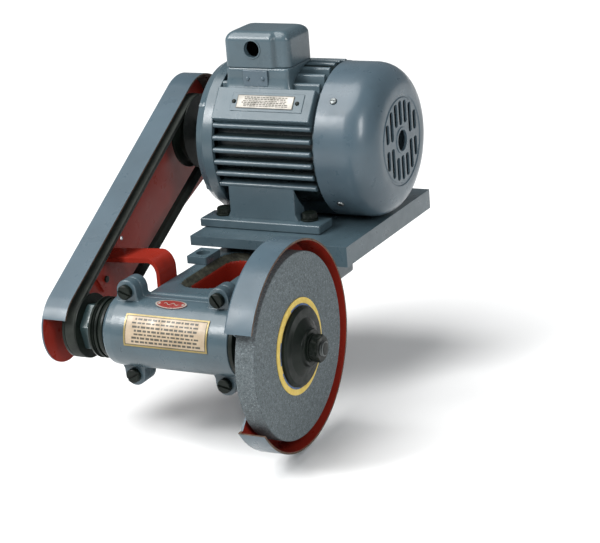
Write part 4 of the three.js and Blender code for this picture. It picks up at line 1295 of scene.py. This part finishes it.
def terminal_box():
    """Box base that flares into the motor frame, with a well for the wires."""
    x0, x1, y0, y1 = BOX_SIDES
    levels = [(9.0, 196), (8.0, 206), (4.5, 216), (1.6, 224), (0.2, 231), (0.0, BOX_JOINT)]
    base = stack([(rectangle(x0 - g, x1 + g, y0 - g, y1 + g, 5 + g, 5), z) for g, z in levels])
    well = block(x0 + 4, x1 - 4, y0 + 4, y0 + 15, BOX_JOINT - 12, BOX_JOINT + 1)
    body = cut(cast_skin(cut(base, motor_drum(FIN_RADIUS - 1)), 4), well)
    place_cast("terminal_box_cast", body, "terminal_box", smooth=60, weighted=False)


def terminal_lid():
    x0, x1, y0, y1 = BOX_SIDES
    lid = lid_shape(x0, x1, y0, y1, BOX_JOINT + 0.3, LID_TOP)
    hollow = prism(rectangle(x0 + 4.5, x1 - 4.5, y0 + 6.5, y1 - 4.5, 5), "z", BOX_JOINT - 1, LID_TOP - 6)
    lid = cut(lid, hollow, rod("y", CONDUIT_X, CONDUIT_Z, CONDUIT_RADIUS, y0 - 2, y0 + 9, 48))
    lip = turned([(0, CONDUIT_RADIUS, 0.2), (0, 11.6, 0.3), (-0.9, 11, 0.4), (-0.9, CONDUIT_RADIUS, 0.3)], 48)
    lip = moved(turn(lip, "Z", 90), CONDUIT_X, y0 + 0.1, CONDUIT_Z)
    place_cast("terminal_lid_cast", joined(lid, lip), "terminal_lid")


def cover_plate():
    face = BOX_SIDES[2]
    plate = beveled(block(-157, -126, face - 2.6, face - 0.3, 222.5, 241), 0.7)
    heads = []
    for x in (-151, -132):
        head = turned([(0, 0, 0), (0, 2.5, 0.1), (-1.0, 2.2, 0.6), (-1.5, 1.0, 0.5), (-1.6, 0, 0)], 28)
        heads.append(moved(turn(head, "Z", 90), x, face - 2.6, 231.5))
    place("cover_plate_bent", plate, GREY, BODY, "terminal_cover_plate", "grey_paint")
    place("cover_plate_screws", joined(*heads), GREY, BODY, None, "grey_paint")


# ------------------------------------------------------------------ build everything
for build in (
    clamp_cap, bracket, clamp_lug, cap_screws, label, badge, end_covers, shaft, wheel, wheel_label, flanges,
    wheel_nut, pulleys, lock_nut, dust_ring, belt, wheel_guard, belt_guard, strap, strap_bolts, motor_plate,
    motor_feet, foot_bolts, motor_frame, nameplate, end_shields, fan_cowl, cowl_screws, fan, rotor_shaft,
    terminal_box, terminal_lid, cover_plate,
):
    build()

# CAD nodes that stay as they are and only get a material
BEARINGS = [f"{end}_bearing_{ring}_ring" for end in ("front", "rear") for ring in ("outer", "inner")]
KEPT = dict.fromkeys(BEARINGS + ["drive_end_bearing", "fan_end_bearing"], STEEL)
KEPT |= {"stator_core": COPPER, "rotor_core": IRON}
for node, material in KEPT.items():
    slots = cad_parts[node].data.materials
    slots.clear()
    slots.append(material)


# ------------------------------------------------------------------ floor, light and camera
def floor():
    bm = bmesh.new()
    bmesh.ops.create_circle(bm, cap_ends=True, segments=96, radius=14.0)
    mesh = bpy.data.meshes.new("studio_floor")
    bm.to_mesh(mesh)
    bm.free()
    plane = bpy.data.objects.new("studio_floor", mesh)
    plane.location.z = CAD_BOX[0][2] - 0.012
    s = Shader("floor_paper", roughness=0.9)
    s.colour(s.ramp(s.noise(3.0), (0.3, (0.79, 0.79, 0.785)), (0.7, (0.82, 0.82, 0.815))))
    mesh.materials.append(s.material)
    bpy.context.scene.collection.objects.link(plane)


def softbox(name, location, size, power, target):
    data = bpy.data.lights.new(name, "AREA")
    data.shape = "RECTANGLE"
    data.size, data.size_y = size
    data.energy = power
    lamp = bpy.data.objects.new(name, data)
    lamp.location = location
    lamp.rotation_euler = (Vector(target) - Vector(location)).to_track_quat("-Z", "Y").to_euler()
    bpy.context.scene.collection.objects.link(lamp)


def lights():
    centre = (0.0, 0.05, 0.1)
    softbox("key_left", (-1.5, -1.7, 1.7), (0.9, 0.9), 66, centre)
    softbox("key_right", (1.6, -1.3, 1.2), (0.45, 0.9), 27, centre)
    sun = bpy.data.lights.new("overhead", "SUN")
    sun.energy = 3.6
    sun.angle = math.radians(50)
    overhead = bpy.data.objects.new("overhead", sun)
    overhead.rotation_euler = (math.radians(14), math.radians(-20), 0)
    bpy.context.scene.collection.objects.link(overhead)
    world = bpy.data.worlds.new("studio")
    world.use_nodes = True
    background = world.node_tree.nodes["Background"]
    background.inputs["Color"].default_value = (0.93, 0.96, 1.0, 1.0)
    background.inputs["Strength"].default_value = 0.24
    bpy.context.scene.world = world


CAMERA_FROM_WHEEL = (921.2, -1733.1, 717.0)  # millimetres from the middle of the wheel's face
AZIMUTH, ELEVATION, ROLL = 27.78, 17.94, 4.49  # degrees


def camera():
    a, e, r = (math.radians(v) for v in (AZIMUTH, ELEVATION, ROLL))
    back = Vector((math.sin(a) * math.cos(e), -math.cos(a) * math.cos(e), math.sin(e)))
    level = Vector((math.cos(a), math.sin(a), 0.0))
    upright = back.cross(level)
    right = math.cos(r) * level - math.sin(r) * upright
    up = math.sin(r) * level + math.cos(r) * upright
    data = bpy.data.cameras.new("photo_view")
    data.lens = 120.0
    data.sensor_width = 36.0
    data.clip_end = 100.0
    eye = bpy.data.objects.new("photo_view", data)
    turn_to = Matrix((right, up, back)).transposed().to_4x4()
    eye.matrix_world = Matrix.Translation(ORIGIN + Vector(CAMERA_FROM_WHEEL) * MM) @ turn_to
    bpy.context.scene.collection.objects.link(eye)
    bpy.context.scene.camera = eye


floor()
lights()
camera()
bpy.context.scene.view_settings.view_transform = "Standard"
